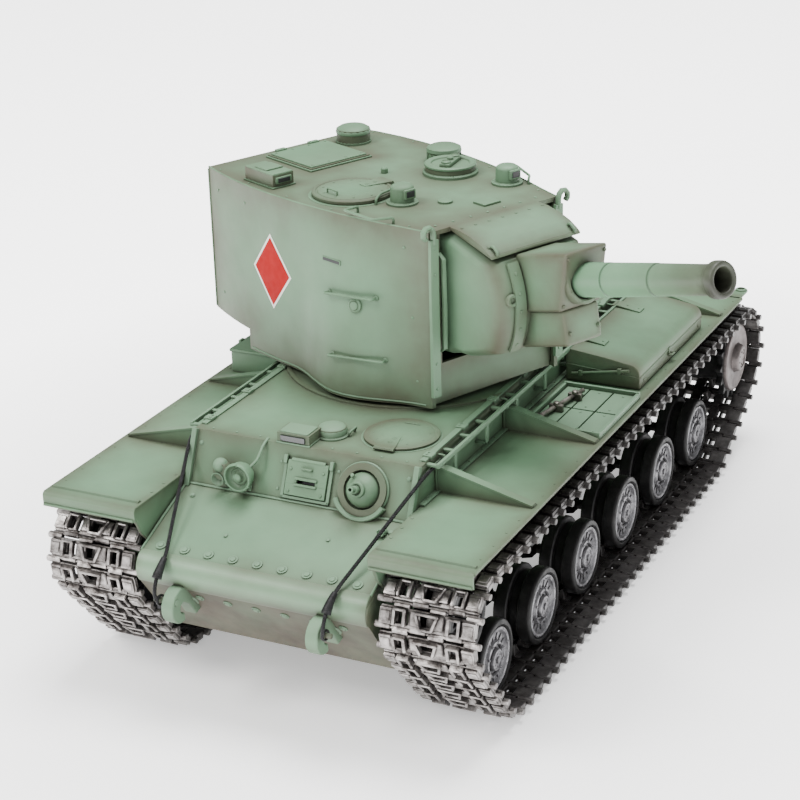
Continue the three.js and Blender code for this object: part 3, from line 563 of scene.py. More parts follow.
def plastic(name, color, other, rough=0.5, scale=90, coat=0.0, shine=0.5):
    s = Shader(name)
    tone = s.ramp(s.noise(scale, 4, 0.6), 0.35, 0.7)
    paint = s.over(color, other, tone, 0.5)
    # Painted shade: crevices darkened towards black from ambient occlusion.
    paint = s.over(paint, srgb(12, 12, 12), s.crevice(0.004), 0.6)
    s.set(Base_Color=paint, Roughness=s.ramp(s.noise(scale * 2), 0.3, 0.7, rough - 0.06, rough + 0.08))
    s.set(Normal=s.bump(s.noise(1200, 2), 0.1, 0.0002))
    s.set(Coat_Weight=coat, Coat_Roughness=0.1, Specular_IOR_Level=shine)
    return s.material


def smoked_barrel(name):
    """Green paint at the root that is airbrushed brown and black towards the muzzle."""
    s = Shader(name)
    drift = s.ramp(s.noise(30, 4, 0.6), 0.35, 0.65)
    color = s.over(GREEN, GREEN_LIGHT, drift, 0.5)
    along = s.mask("along")
    broken = s.math("ADD", along, s.ramp(s.noise(45, 4, 0.65), 0.3, 0.7, -0.06, 0.06))
    brown = s.ramp(broken, 0.42, 0.9)
    color = s.over(color, srgb(62, 48, 40), brown, 0.72)
    soot = s.ramp(broken, 0.86, 1.0)
    color = s.over(color, srgb(30, 24, 22), soot, 0.75)
    # Painted shade: crevices darkened from ambient occlusion.
    crevice_shade = s.crevice(0.004)
    color = s.over(color, srgb(30, 28, 24), crevice_shade, 0.8)
    s.set(Base_Color=color, Roughness=s.ramp(s.noise(60, 4), 0.3, 0.7, 0.42, 0.6), Specular_IOR_Level=0.45)
    s.set(Normal=s.bump(s.noise(1300, 2, 0.6), 0.1, 0.0002))
    return s.material


# `under` sets how much painted shade the downward faces get.
PAINT = painted("green_paint", smoke=0.72)
PAINT_HULL = painted("green_paint_low", smoke=0.64, dusty=0.55, under=0.95)
# A brighter green for the nose strip: the lighter colour is a painted highlight along the rolled crease.
PAINT_PAINTED_HIGHLIGHT = painted("green_paint_painted_highlight", base=srgb(116, 146, 118), smoke=0.5, under=0.6, rough=0.34)
PAINT_CAST = painted("green_paint_cast", cast=0.22)
PAINT_TRIM = painted("green_paint_trim", base=srgb(100, 130, 104), smoke=0.4)
BARREL = smoked_barrel("smoked_barrel_paint")
# In the metal calls the colour after the metallic value paints shade into crevices; the track's last colour
# is the painted shade laid over its links away from the front and the underside.
TRACK = metal("track_metal", srgb(92, 87, 85), srgb(206, 201, 198), 0.85, (0.3, 0.52), 210, 0.9,
              srgb(34, 28, 26), srgb(30, 28, 28))
WHEEL = metal("wheel_metal", srgb(104, 103, 106), srgb(186, 185, 188), 0.6, (0.36, 0.58), 150, 0.8,
              srgb(30, 28, 28))
RIM = metal("black_metal", srgb(22, 22, 23), srgb(58, 57, 56), 0.35, (0.4, 0.62), 140, 0.55, srgb(8, 8, 8))
HUB = metal("hub_metal", srgb(82, 76, 75), srgb(134, 126, 124), 0.5, (0.4, 0.6), 90, 0.7)
STRAND = metal("cable_strand", srgb(16, 16, 17), srgb(70, 70, 72), 0.3, (0.42, 0.6), 400, 0.5, srgb(5, 5, 5))
BRIGHT = metal("bright_clamp", srgb(92, 88, 82), srgb(190, 186, 176), 0.6, (0.3, 0.5), 200, 0.9)
BLACK = plastic("black_plastic", srgb(24, 24, 26), srgb(38, 38, 40), 0.48)
BOARD = plastic("circuit_board", srgb(18, 74, 38), srgb(30, 96, 52), 0.35, 60, 0.3)
WRAP = plastic("battery_wrap", srgb(24, 42, 98), srgb(34, 58, 124), 0.3, 40, 0.5)
NYLON = plastic("gear_nylon", srgb(214, 208, 190), srgb(198, 190, 170), 0.5)
RED = plastic("mark_red", srgb(160, 0, 0), srgb(140, 0, 0), 0.6, 150, shine=0.12)
WHITE = plastic("mark_white", srgb(228, 226, 218), srgb(212, 208, 198), 0.5, 150)
AMBER = plastic("sight_glass", srgb(30, 34, 34), srgb(52, 58, 56), 0.12, 60, 0.6)

# ---------- Camera, lights and floor ----------
GROUND = -0.0265


def add_camera():
    az, el, roll = 26.64 * RAD, 22.48 * RAD, -1.72 * RAD
    back = Vector((math.sin(az) * math.cos(el), -math.cos(az) * math.cos(el), math.sin(el)))
    right = Vector((math.cos(az), math.sin(az), 0))
    up = back.cross(right)
    rolled = (right * math.cos(roll) + up * math.sin(roll), up * math.cos(roll) - right * math.sin(roll),
              back)
    camera = bpy.data.objects.new("camera", bpy.data.cameras.new("camera"))
    camera.data.lens = 96.61
    camera.data.sensor_width = 36
    camera.data.clip_start, camera.data.clip_end = 0.05, 20
    m = Matrix(rolled).transposed().to_4x4()
    target, distance = Vector((-0.005, -0.0296, 0.065)), 1.03235
    m.translation = target + back * distance
    camera.matrix_world = m
    bpy.context.scene.collection.objects.link(camera)
    bpy.context.scene.camera = camera


def add_light(name, place, target, size, power, color=(1, 1, 1)):
    data = bpy.data.lights.new(name, "AREA")
    data.shape = "DISK"
    data.size, data.energy, data.color = size, power, color
    light = bpy.data.objects.new(name, data)
    light.location = place
    light.rotation_euler = (Vector(target) - Vector(place)).to_track_quat("-Z", "Y").to_euler()
    bpy.context.scene.collection.objects.link(light)


def add_studio():
    add_light("key", (-0.9, -1.2, 1.7), (0, 0, 0.05), 0.8, 37, (1, 0.985, 0.96))
    add_light("side", (1.7, -0.5, 0.9), (0, 0, 0.05), 0.8, 4, (0.96, 0.98, 1))
    add_light("top", (0.1, 0.3, 1.9), (0, 0, 0.05), 1.1, 59)
    add_light("front", (0.3, -1.6, 1.2), (0, 0, 0.05), 0.7, 7)
    world = bpy.context.scene.world or bpy.data.worlds.new("world")
    bpy.context.scene.world = world
    world.use_nodes = True
    sky = world.node_tree.nodes["Background"].inputs
    sky["Color"].default_value = (1, 1, 1, 1)
    sky["Strength"].default_value = 0.45
    bm = bmesh.new()
    bmesh.ops.create_circle(bm, cap_ends=True, segments=64, radius=6)
    mesh = bpy.data.meshes.new("floor")
    bm.to_mesh(mesh)
    bm.free()
    s = Shader("floor_paper")
    tone = s.mix(s.ramp(s.noise(6, 2), 0.3, 0.7), (0.93, 0.93, 0.93), (0.95, 0.95, 0.95))
    # The glow grows away from the tank: the dimmer floor near it is a painted shadow, which keeps the belly
    # dark and the far floor white.
    across, along = (s.math("POWER", s.math("DIVIDE", s.axis(name), reach), 2.0)
                     for name, reach in (("X", 0.5), ("Y", 0.62)))
    away = s.math("ADD", across, along)
    glow_and_painted_shadow = s.ramp(s.math("SQRT", away), 0.25, 0.8, 0.5, 2.8)
    s.set(Base_Color=tone, Roughness=0.9, Specular_IOR_Level=0.1, Emission_Color=(1, 1, 1),
          Emission_Strength=glow_and_painted_shadow)
    mesh.materials.append(s.material)
    floor = bpy.data.objects.new("floor", mesh)
    floor.location = (0, 0, GROUND - 0.0003)
    bpy.context.scene.collection.objects.link(floor)


add_camera()
add_studio()


# ---------- Hull ----------
HALF = 56                      # half the hull's width
HOOK_X = 35                    # the tow hooks, each side of the middle
BALL = (31, 70.6)              # across and up the front plate
VISOR = (3.8, 70.6)
HULL_HATCH = (34, -106.3)
LAMP = (-25.6, -147, 71)       # the headlight's middle


def glacis(x, y, out=0):
    """On the long shallow nose plate: x across, y back along it, z out of it."""
    slope = Vector((0, 45.4, 16.9)).normalized()
    z = 44.4 + (y + 188.4) * 16.9 / 45.4
    return frame_of((x, y, z), (1, 0, 0), slope) @ at(0, 0, out)


def lower_nose(x, z, out=0):
    """On the plate under the nose: x across, y up it, z out of it."""
    up = Vector((0, -28.2, 37.8)).normalized()
    y = -162 - z * 28.2 / 37.8
    return frame_of((x, y, z), (1, 0, 0), up) @ at(0, 0, out)


refined("lower_hull_shell", "lower_hull", PAINT_HULL, "hull", edge=0.5, reach=8,
        shortest=14)
refined("upper_hull_shell", "upper_hull", PAINT_HULL, "hull", edge=0.45, reach=5)


def hull_trim():
    bm = bmesh.new()
    # Nose: a row of ringed bolts above the crease and a shorter one below it.
    for i in range(9):
        x = -48 + i * 12
        place = glacis(x, -179.6)
        lathe(bm, [(2.3, -0.1), (2.3, 0.15), (1.9, 0.3), (1.5, 0.12), (1.2, 0.12), (1.2, 0.45), (0.5, 0.55),
                   (0, 0.55)], 14, place)
    for i in range(7):
        x = -42 + i * 14
        if abs(abs(x) - HOOK_X) < 6:      # the tow hooks stand here
            continue
        lathe(bm, [(2.1, -0.1), (2.1, 0.4), (1.7, 0.6), (1.4, 0.3), (1.1, 0.8), (0, 0.9)], 14,
              lower_nose(x, 27.6))
    # Welded beads along the nose plate's sides and round the front plate.
    for side in (1, -1):
        edge = [(side * (HALF - 0.2), y, z + 0.1) for y, z in [(-183.4, 45.8), (-165, 53.2), (-143.2, 61.2)]]
        wire(bm, edge, 0.55, sides=6)
        edge = [(side * (HALF - 0.2), -143, 61.2), (side * (HALF - 0.2), -133.3, 83.3)]
        wire(bm, edge, 0.55, sides=6)
    wire(bm, [(-HALF + 1, -143.4, 61.2), (HALF - 1, -143.4, 61.2)], 0.6, sides=6)
    # Rivets along the roof's rims.
    for i in range(24):
        y = -128 + i * 11
        for side in (1, -1):
            if y < 128:
                bolt(bm, at(side * (HALF - 2.6), y, ROOF_Z), 0.55, 0.35)
    for i in range(9):
        bolt(bm, at(-48 + 12 * i, -130.4, ROOF_Z), 0.6, 0.35)
    # Cable clamps and a ledge along the top of each side, with a strip that holds the cable.
    for m in MIRROR.values():
        block(bm, (HALF - 3.2, -128, ROOF_Z - 0.1), (HALF - 0.2, 110, ROOF_Z + 0.8), m, 0.3)
        for i, y in enumerate((-122, -88, -54, -20, 14, 48, 82)):
            block(bm, (HALF - 3.6, y - 2.4, ROOF_Z - 0.4), (HALF + 0.9, y + 2.4, ROOF_Z + 1.5), m, 0.35)
            bolt(bm, m @ at(HALF - 2, y - 1.1, ROOF_Z + 1.5), 0.55, 0.4)
            bolt(bm, m @ at(HALF - 2, y + 1.1, ROOF_Z + 1.5), 0.55, 0.4)
            if i % 2 == 0:
                wire(bm, [(HALF - 0.1, y + 6, 77.6), (HALF + 3.4, y + 6, 77.6), (HALF + 3.4, y + 6, 82.4),
                          (HALF - 0.1, y + 6, 82.4)], 0.5, m, 6, 1.2)
        # Raised lip of the fender against the hull, with its bolts.
        block(bm, (HALF - 0.1, -136, FENDER_Z), (HALF + 2.6, 150, FENDER_Z + 1), m, 0.3)
        for i in range(20):
            bolt(bm, m @ at(HALF + 1.5, -130 + i * 14.4, FENDER_Z + 1), 0.6, 0.35)
        # A rail of bars and rungs that carries the cable along the hull's upper edge.
        block(bm, (HALF + 4.6, -128, 81.2), (HALF + 6, 112, 83.4), m, 0.3)
        for i in range(15):
            y = -127 + i * 17
            block(bm, (HALF - 0.6, y - 1.1, 81.6), (HALF + 5.6, y + 1.1, 82.8), m, 0.25)
            if i % 2:
                block(bm, (HALF + 4.8, y - 1.3, 72), (HALF + 5.8, y + 1.3, 82), m, 0.25)
                block(bm, (HALF - 0.4, y - 1.3, 72), (HALF + 5.8, y + 1.3, 73.2), m, 0.25)
        # Side-plate corners standing a little proud beside the front plate.
        block(bm, (HALF - 2.2, -2, -1), (HALF + 0.35, 1.2, 25),
              m @ Matrix.Translation((0, -143.4, 60.6)) @ Matrix.Rotation(-PLATE_LEAN, 4, "X"), 0.35)
    # Screws and studs on the front plate and the glacis.
    for side in (1, -1):
        hex_bolt(bm, glacis(side * 49, -150), 1.0, 0.6)
        hex_bolt(bm, front_plate(side * 51.5, 78), 0.9, 0.5)
    bolt(bm, glacis(-22, -168), 0.9, 0.4)
    bolt(bm, glacis(24, -160), 0.9, 0.4)
    make("hull_trim", bm, PAINT_TRIM, "hull")
    # A smooth rolled strip over the crease of the nose, where the two shells meet; its brighter green is a
    # painted highlight.
    bm = bmesh.new()
    outline = arc(-180.6, 38.3, 8.45, 222, 106, 18) + arc(-180.6, 38.3, 7.7, 106, 222, 18)
    prism(bm, outline, -HALF + 0.2, HALF - 0.2, PROFILE, 0.2, 1)
    fine(bm, 5)
    points = [Vector((x, -180.6 + 8.4 * math.cos(a * RAD), 38.3 + 8.4 * math.sin(a * RAD)))
              for x in range(-55, 56, 2) for a in (222, 106)]
    points += [Vector((s * 55.8, -188, z)) for s in (1, -1) for z in range(32, 46)]
    return make("nose_strip", bm, PAINT_PAINTED_HIGHLIGHT, "hull", mask_points=points, reach=3)


def engine_deck():
    bm = bmesh.new()
    # Domed hatch with its bolts and hinges, and the slats of the air boxes beside it.
    dome = at(0, 86, ROOF_Z + 2.1)
    lathe(bm, [(17, 0), (17, 0.8), (15.6, 1.4), (14.4, 1.4), (13, 2.4), (8, 4.2), (0, 5)], 40, dome)
    bolt_ring(bm, at(0, 86, ROOF_Z + 3.1), 12, 15.8, 0, 0, 0.6, 0.5)
    for x in (-12, 12):
        block(bm, (x - 3, 105, ROOF_Z + 1.8), (x + 3, 110, ROOF_Z + 3.2), HERE, 0.4)
    for m in MIRROR.values():
        for i in range(12):
            y = 69 + i * 3
            block(bm, (29.5, y - 0.55, ROOF_Z + 1.2), (44.5, y + 0.55, ROOF_Z + 2.4), m, 0.2, 1)
        for y in (66.6, 103.4):
            for x in (29.6, 37, 44.4):
                bolt(bm, m @ at(x, y, ROOF_Z + 1.4), 0.6, 0.4)
        lathe(bm, [(6.6, 0), (6.6, 1), (5.8, 1.6), (4.6, 1.2), (4.2, 1.9), (1.6, 2.2), (0, 2.2)], 28,
              m @ at(38, 120, ROOF_Z - 0.1))
    # Two round transmission covers and bolts on the sloped rear deck.
    slope = Vector((0, 42, -15)).normalized()
    for x in (-26, 26):
        place = frame_of((x, 153, 75.9), (1, 0, 0), slope)
        lathe(bm, [(14, -0.2), (14, 0.8), (13, 1.4), (11.4, 1.1), (10.6, 1.7), (4, 2.6), (0, 2.7)], 40, place)
        bolt_ring(bm, place, 8, 12.3, 0, 1.1, 0.6, 0.5)
    for i in range(9):
        bolt(bm, frame_of((-48 + 12 * i, 136.5, 81.9), (1, 0, 0), slope), 0.7, 0.4)
    # A ribbed air outlet across the tail's upper edge, and two tow eyes.
    for i in range(22):
        x = -50.4 + i * 4.8
        block(bm, (x - 0.7, 0, 0), (x + 0.7, 13, 1), frame_of((0, 182.6, 62.6), (1, 0, 0), (0, 6, -14)), 0.2,
              1)
    for side in (1, -1):
        outline = [(-3, 0), (3, 0), (3.6, 6), *arc(0, 8, 3.6, 0, 180, 8), (-3.6, 6)]
        prism(bm, outline, -1.1, 1.1,
              at(side * 36, 183, 26) @ Matrix.Rotation(90 * RAD, 4, "Y") @ Matrix.Rotation(-90 * RAD, 4, "Z"),
              0.4)
    return make("engine_deck", bm, PAINT_TRIM, "hull")


def tow_hooks():
    """Two heavy C-shaped hooks on the lower nose plate, each on a bolted foot."""
    bm = bmesh.new()
    outline = arc(-190.5, 26.8, 8.15, 58, 284, 22) + arc(-189.7, 25.2, 2.35, 284, 48, 12)
    outline += [(-184.6, 24.4), (-180, 17.4), (-175, 18.6), (-180.6, 29.6)]
    for side in (1, -1):
        prism(bm, outline, HOOK_X * side - 3, HOOK_X * side + 3, PROFILE, 1.1, 3)
        lathe(bm, [(4.6, -0.4), (4.6, 0.3), (4, 0.8), (0, 0.8)], 32, lower_nose(side * HOOK_X, 24.4))
        disc(bm, 1.5, side * HOOK_X - 3.5, side * HOOK_X + 3.5, at(0, -195, 30) @ ALONG_X, 0.3, 12)
    return make("tow_hooks", bm, PAINT_TRIM, "hull")


def front_fittings():
    """Ball seat, periscope box and dome, hatch coaming, lamp bracket, horn and visor surround."""
    bm = bmesh.new()
    seat = front_plate(*BALL)
    lathe(bm, [(12.4, -0.2), (12.4, 0.8), (12, 1.2), (9.3, 1.3), (8.7, 1), (8.45, 0.4), (8.45, 0)], 48, seat)
    apron = [(12.8 * math.cos(t * RAD), 12.8 * math.sin(t * RAD), 1.7) for t in range(205, 340, 9)]
    sweep(bm, apron, [(-1.1, -1.9), (1.1, -1.9), (1.1, 1.4), (0.6, 2), (-0.6, 2), (-1.1, 1.4)], seat)
    bolt_ring(bm, seat, 10, 10.9, 18, 1.2, 0.62, 0.6, hex_bolt)
    # Periscope box with a glazed front, and a dome and plug beside it on the roof.
    block(bm, (-14.4, -133.6, ROOF_Z - 0.2), (2.4, -121, ROOF_Z + 0.8), HERE, 0.3)
    block(bm, (-13, -132.4, ROOF_Z + 4.6), (1, -122.4, ROOF_Z + 5.6), HERE, 0.4)
    for x in (-12.6, 0.6):
        bolt(bm, at(x, -120, ROOF_Z), 0.7, 0.4)
    lathe(bm, [(7.4, 0), (7.4, 0.9), (6.7, 1.3), (6.7, 3.6), (6, 4.6), (4.4, 5.3), (2, 5.6), (0, 5.65)], 32,
          at(5, -117, ROOF_Z - 0.2))
    wire(bm, [(12.2, -116, ROOF_Z), (13.4, -116, ROOF_Z + 2.6), (13.4, -110, ROOF_Z + 2.6),
              (12.2, -110, ROOF_Z)], 0.5, corner=1)
    # Hatch coaming on the roof.
    lathe(bm, [(18.2, -0.2), (18.2, 0.15), (15.2, 0.2), (15.2, -1.6)], 48, at(*HULL_HATCH, ROOF_Z))
    # Lamp bracket, conduit and horn.
    wire(bm, [(-25.6, -143.5, 64.4), (-25.6, -146, 64.6), (-25.6, -147.6, 67)], 1.1, corner=1.2)
    wire(bm, [(-22, -144, 74.5), (-20, -141, 77), (-19.4, -136, 82.4), (-19.4, -131.6, 83.6)], 0.7, corner=2)
    dome = [(3.5 * math.cos(t * RAD), 3.5 * math.sin(t * RAD)) for t in range(-70, 81, 15)]
    lathe(bm, [(0, -3.5)] + dome + [(0, 3.5)], 28, at(-36.8, -144.6, 73) @ AHEAD)
    lathe(bm, [(0, -2), (1.2, -1.8), (1.5, 0), (2.9, 2.2), (3.2, 2.8), (2.8, 2.9), (1.2, 0.8), (0, 0.7)], 24,
          at(-37.2, -144.8, 67.4) @ AHEAD)
    wire(bm, [(-36.6, -142, 67.6), (-36.6, -144, 67.8)], 0.9, corner=1)
    block(bm, (-39, -2.5, 0), (-34, 2.5, 0.9), frame_of((0, -141.2, 66), (1, 0, 0), (0, 0.4, 0.916)), 0.3)
    block(bm, (-28.5, -3, 0), (-22.6, 3, 0.9), frame_of((0, -142, 65), (1, 0, 0), (0, 0.4, 0.916)), 0.3)
    # A capped tube stub on the left.
    lathe(bm, [(1.9, -0.4), (1.9, 3.2), (1.5, 3.6), (1.2, 3.2), (0, 2.6)], 16,
          glacis(46, -150.6) @ Matrix.Rotation(50 * RAD, 4, "X"))
    # Visor surround with its hinge blocks and a lower stop.
    vis = front_plate(*VISOR)
    for x0, x1, y0, y1 in ((-12, 12, -9.4, -8.1), (-12, -10.4, -9.4, 9.2), (10.4, 12, -9.4, 9.2)):
        block(bm, (x0, y0, -0.2), (x1, y1, 1.3), vis, 0.25)
    for x in (-11.3, 11.3):
        block(bm, (x - 0.9, 5.8, -0.2), (x + 0.9, 9.6, 2.4), vis, 0.35)
    for x in (-14.2, 14.2):
        for y in (-6, 6):
            bolt(bm, vis @ at(x, y, 0), 0.75, 0.4)
    return make("front_fittings", bm, PAINT_TRIM, "hull")


hull_trim()
engine_deck()
tow_hooks()
front_fittings()


def periscope_glass():
    bm = bmesh.new()
    block(bm, (-12, -133.9, ROOF_Z + 1.4), (0, -133, ROOF_Z + 4), HERE, 0.2)
    return make("periscope_glass", bm, AMBER, "hull")


def headlight():
    bm = bmesh.new()
    place = at(*LAMP) @ AHEAD
    lathe(bm, [(0, -5.6), (2.2, -5.5), (4.4, -4.4), (5.8, -2), (6.2, 1.2), (6.6, 1.6), (6.7, 2.6), (6.5, 3.3),
               (6, 3.5), (5.6, 3.2), (5.4, 2.4), (5, 1.4), (4.2, 0.9), (3.4, 1.5), (2.8, 1.2), (2.2, 1.7),
               (1.9, 3), (1.2, 3.5), (0, 3.6)], 40, place)
    bolt_ring(bm, place, 3, 6.5, 90, 3, 0.5, 0.5)
    return make("headlight_body", bm, PAINT, "hull", ["headlight"])


def driver_visor():
    bm = bmesh.new()
    place = front_plate(*VISOR, 0.3)
    block(bm, (-10, -7.75, 0), (10, -2.2, 1.8), place, 0.4)
    block(bm, (-10, -0.8, 0), (10, 7.75, 1.8), place, 0.4)
    block(bm, (-10, -3, 0), (-4.5, 0, 1.8), place, 0.3)
    block(bm, (4.5, -3, 0), (10, 0, 1.8), place, 0.3)
    block(bm, (-5.6, -3.4, 1.6), (5.6, -2.3, 2.6), place, 0.3)
    block(bm, (-5.6, -0.7, 1.6), (5.6, 0.5, 2.6), place, 0.3)
    wire(bm, [(-8.2, 7.75, 1), (8.2, 7.75, 1)], 1.0, place, 12)
    for x in (-8, 8):
        for y in (-6, 3.8):
            bolt(bm, place @ at(x, y, 1.8), 0.7, 0.5)
    wire(bm, [(-2.4, 4.4, 1.7), (-2.4, 4.4, 3.1), (2.4, 4.4, 3.1), (2.4, 4.4, 1.7)], 0.4, place, 6, 0.6)
    return make("visor_flap", bm, PAINT, "driver_visor", ["driver_visor"])


def visor_hole():
    """The dark block of armoured glass seen through the visor's slit."""
    bm = bmesh.new()
    block(bm, (-7, -5, -2.4), (7, 5, -1.2), front_plate(*VISOR), 0.3)
    return make("visor_block", bm, AMBER, "hull")


def hatch_lid(name, node, r, place, hinge_turn, rise=2.2):
    """A round lid: stepped rim, shallow dish, bolts, hinge leaf and a grip that stands `rise` high."""
    bm = bmesh.new()
    lathe(bm, [(0, 0), (r - 0.3, 0), (r, 0.3), (r, 1.5), (r - 0.4, 1.9), (r - 1.6, 2), (r - 1.9, 1.7),
               (r - 2.6, 1.7), (r - 2.9, 2), (r * 0.55, 2.35), (r * 0.5, 2.2), (r * 0.44, 2.2),
               (r * 0.4, 2.4), (0, 2.45)], 56, place)
    bolt_ring(bm, place, 10, r * 0.74, 18, 2, 0.6, 0.4)
    arm = place @ Matrix.Rotation(hinge_turn * RAD, 4, "Z")
    outline = [(r * 0.3, -2.2), (r - 1, -4.6), (r + 1.8, -4.6), (r + 1.8, 4.6), (r - 1, 4.6), (r * 0.3, 2.2)]
    prism(bm, outline, 1.6, 2.8, arm, 0.35)
    wire(bm, [(r + 0.8, -4.8, 1.5), (r + 0.8, 4.8, 1.5)], 1.25, arm, 14)
    for x in (r * 0.45, r * 0.7):
        hex_bolt(bm, arm @ at(x, 0, 2.8), 0.8, 0.25 * rise / 2.2)
    top = 2 + rise
    wire(bm, [(-r * 0.62, -3.6, 2), (-r * 0.62, -3.6, top), (-r * 0.62, 3.6, top), (-r * 0.62, 3.6, 2)], 0.4,
         arm, 8, 0.4)
    points = [place @ Vector((r * math.cos(a / 20), r * math.sin(a / 20), 1)) for a in range(126)]
    fine(bm, 4)
    return make(name, bm, PAINT, node, [node], mask_points=points, reach=4.5)


def ball_mount():
    bm = bmesh.new()
    place = front_plate(*BALL, -1.2)
    rows = [(8.2 * math.cos(t * RAD), 8.2 * math.sin(t * RAD)) for t in range(-80, 78, 6)]
    lathe(bm, [(0, -8.2)] + rows + [(0, 8.2)], 48, place)
    lathe(bm, [(3.6, 6.6), (3.6, 8.9), (3.1, 9.3), (2.5, 9.3), (2.5, 8.4), (1.6, 8.4)], 24, place)
    lathe(bm, [(1.9, 5), (1.9, 11.2), (1.6, 11.6), (1.25, 11.7), (1.25, 14), (1.4, 14.1), (1.4, 14.9),
               (0.8, 15), (0.8, 12), (0, 12)], 20, place)
    disc(bm, 0.9, 7.2, 8.6, place @ at(-3.6, 3.4, -0.6) @ Matrix.Rotation(-0.3, 4, "X"), 0.2, 12)
    return make("ball_mount_gun", bm, PAINT_CAST, "ball_mount", ["ball_mount"])


periscope_glass()
headlight()
driver_visor()
visor_hole()
hatch_lid("hull_hatch_lid", "hull_hatch", 17, at(*HULL_HATCH, ROOF_Z + 0.3) @ Matrix.Diagonal((1, 1, 0.6, 1)),
          -90, 0.6)
ball_mount()


# ---------- Turret ----------
def roof(x, forward, up=0):
    """On the turret's roof, at a place across and forward of the ring's axis."""
    return TURRET @ at(x, -forward, TURRET_TOP + up)


CUPOLA = (28.5, -6)            # places on the roof: across, and forward of the ring's axis
TURRET_HATCH = (-26, -12)
REAR_VENT = (30, -82)
FRONT_VENT = (40, -24)
HOODS = ((-18.5, 15), (36.3, 25.5))
SLIT = (5, 147)                # on both walls: forward, and up from the ground line
MARK = (-40, 131)              # the painted mark's middle, on both walls

# Stations along the roof's edge: forward of the ring's axis, and the half width there.
ROOF_HALVES = [(-97, 48), (-86, 50.4), (-72, 52.6), (-56, 53.8), (-38, 54), (-20, 53), (-6, 51.6), (8, 49.8),
               (20, 47.6), (32, 44.8), (44, 41.6), (57, 38.6)]


def half_width(forward, z):
    """The turret wall's distance from the middle, at a place forward and a height."""
    for (f0, h0), (f1, h1) in zip(ROOF_HALVES, ROOF_HALVES[1:]):
        if forward <= f1 or f1 == TURRET_FRONT:
            half = h0 + (h1 - h0) * (forward - f0) / (f1 - f0)
            break
    away = abs(forward - 15) / 43
    bulge = 11 * math.cos(away * math.pi / 2) ** 2 if away < 1 else 0
    return half + bulge * (1 - (z - TURRET_FOOT) / (TURRET_TOP - TURRET_FOOT))


def wall(side, forward, z, out=0):
    """On a side wall: x towards the front, y up, z out of the wall. side 1 is the turret's left."""
    p = lambda f, h: Vector((side * half_width(f, h), -f, h))
    ahead = p(forward + 2, z) - p(forward - 2, z)
    up = p(forward, z + 2) - p(forward, z - 2)
    m = frame_of(p(forward, z), ahead, up)
    if side > 0:
        m = frame_of(p(forward, z), -ahead, up)
    return TURRET @ m @ at(0, 0, out)


def wall_curve(forward, z):
    """The wall's half width on one smooth curve, and on the straight lines between the stations."""
    fs = [f for f, _ in ROOF_HALVES]
    hs = [half_width(f, z) for f in fs]
    k = next(i for i in range(len(fs) - 1) if forward <= fs[i + 1])
    last = len(fs) - 1
    slopes = [(hs[min(i + 1, last)] - hs[max(i - 1, 0)]) / (fs[min(i + 1, last)] - fs[max(i - 1, 0)])
              for i in (k, k + 1)]
    span = fs[k + 1] - fs[k]
    t = (forward - fs[k]) / span
    curved = ((2 * t ** 3 - 3 * t ** 2 + 1) * hs[k] + (t ** 3 - 2 * t ** 2 + t) * span * slopes[0]
              + (3 * t ** 2 - 2 * t ** 3) * hs[k + 1] + (t ** 3 - t ** 2) * span * slopes[1])
    return curved, hs[k] * (1 - t) + hs[k + 1] * t


def smooth_walls(bm):
    """Moves the side walls' points onto one smooth curve, so that light runs over them evenly."""
    back = TURRET.inverted()
    bm.normal_update()
    for v in bm.verts:
        p = back @ v.co
        if not -TURRET_REAR < -p.y < TURRET_FRONT or (back.to_3x3() @ v.normal).x * p.x <= 0:
            continue
        curved, straight = wall_curve(-p.y, p.z)
        off = abs(p.x) - straight
        inside = 2 - TURRET_REAR < -p.y < TURRET_FRONT - 2 and 88 < p.z < TURRET_TOP - 1.5
        if abs(off) < (1.6 if inside else 0.9):
            p.x = math.copysign(curved + (0 if inside else off), p.x)
            v.co = TURRET @ p


shell = refined("turret_shell_body", "turret_shell", PAINT, "turret", edge=0.8, reach=10,
                extra=smooth_walls)


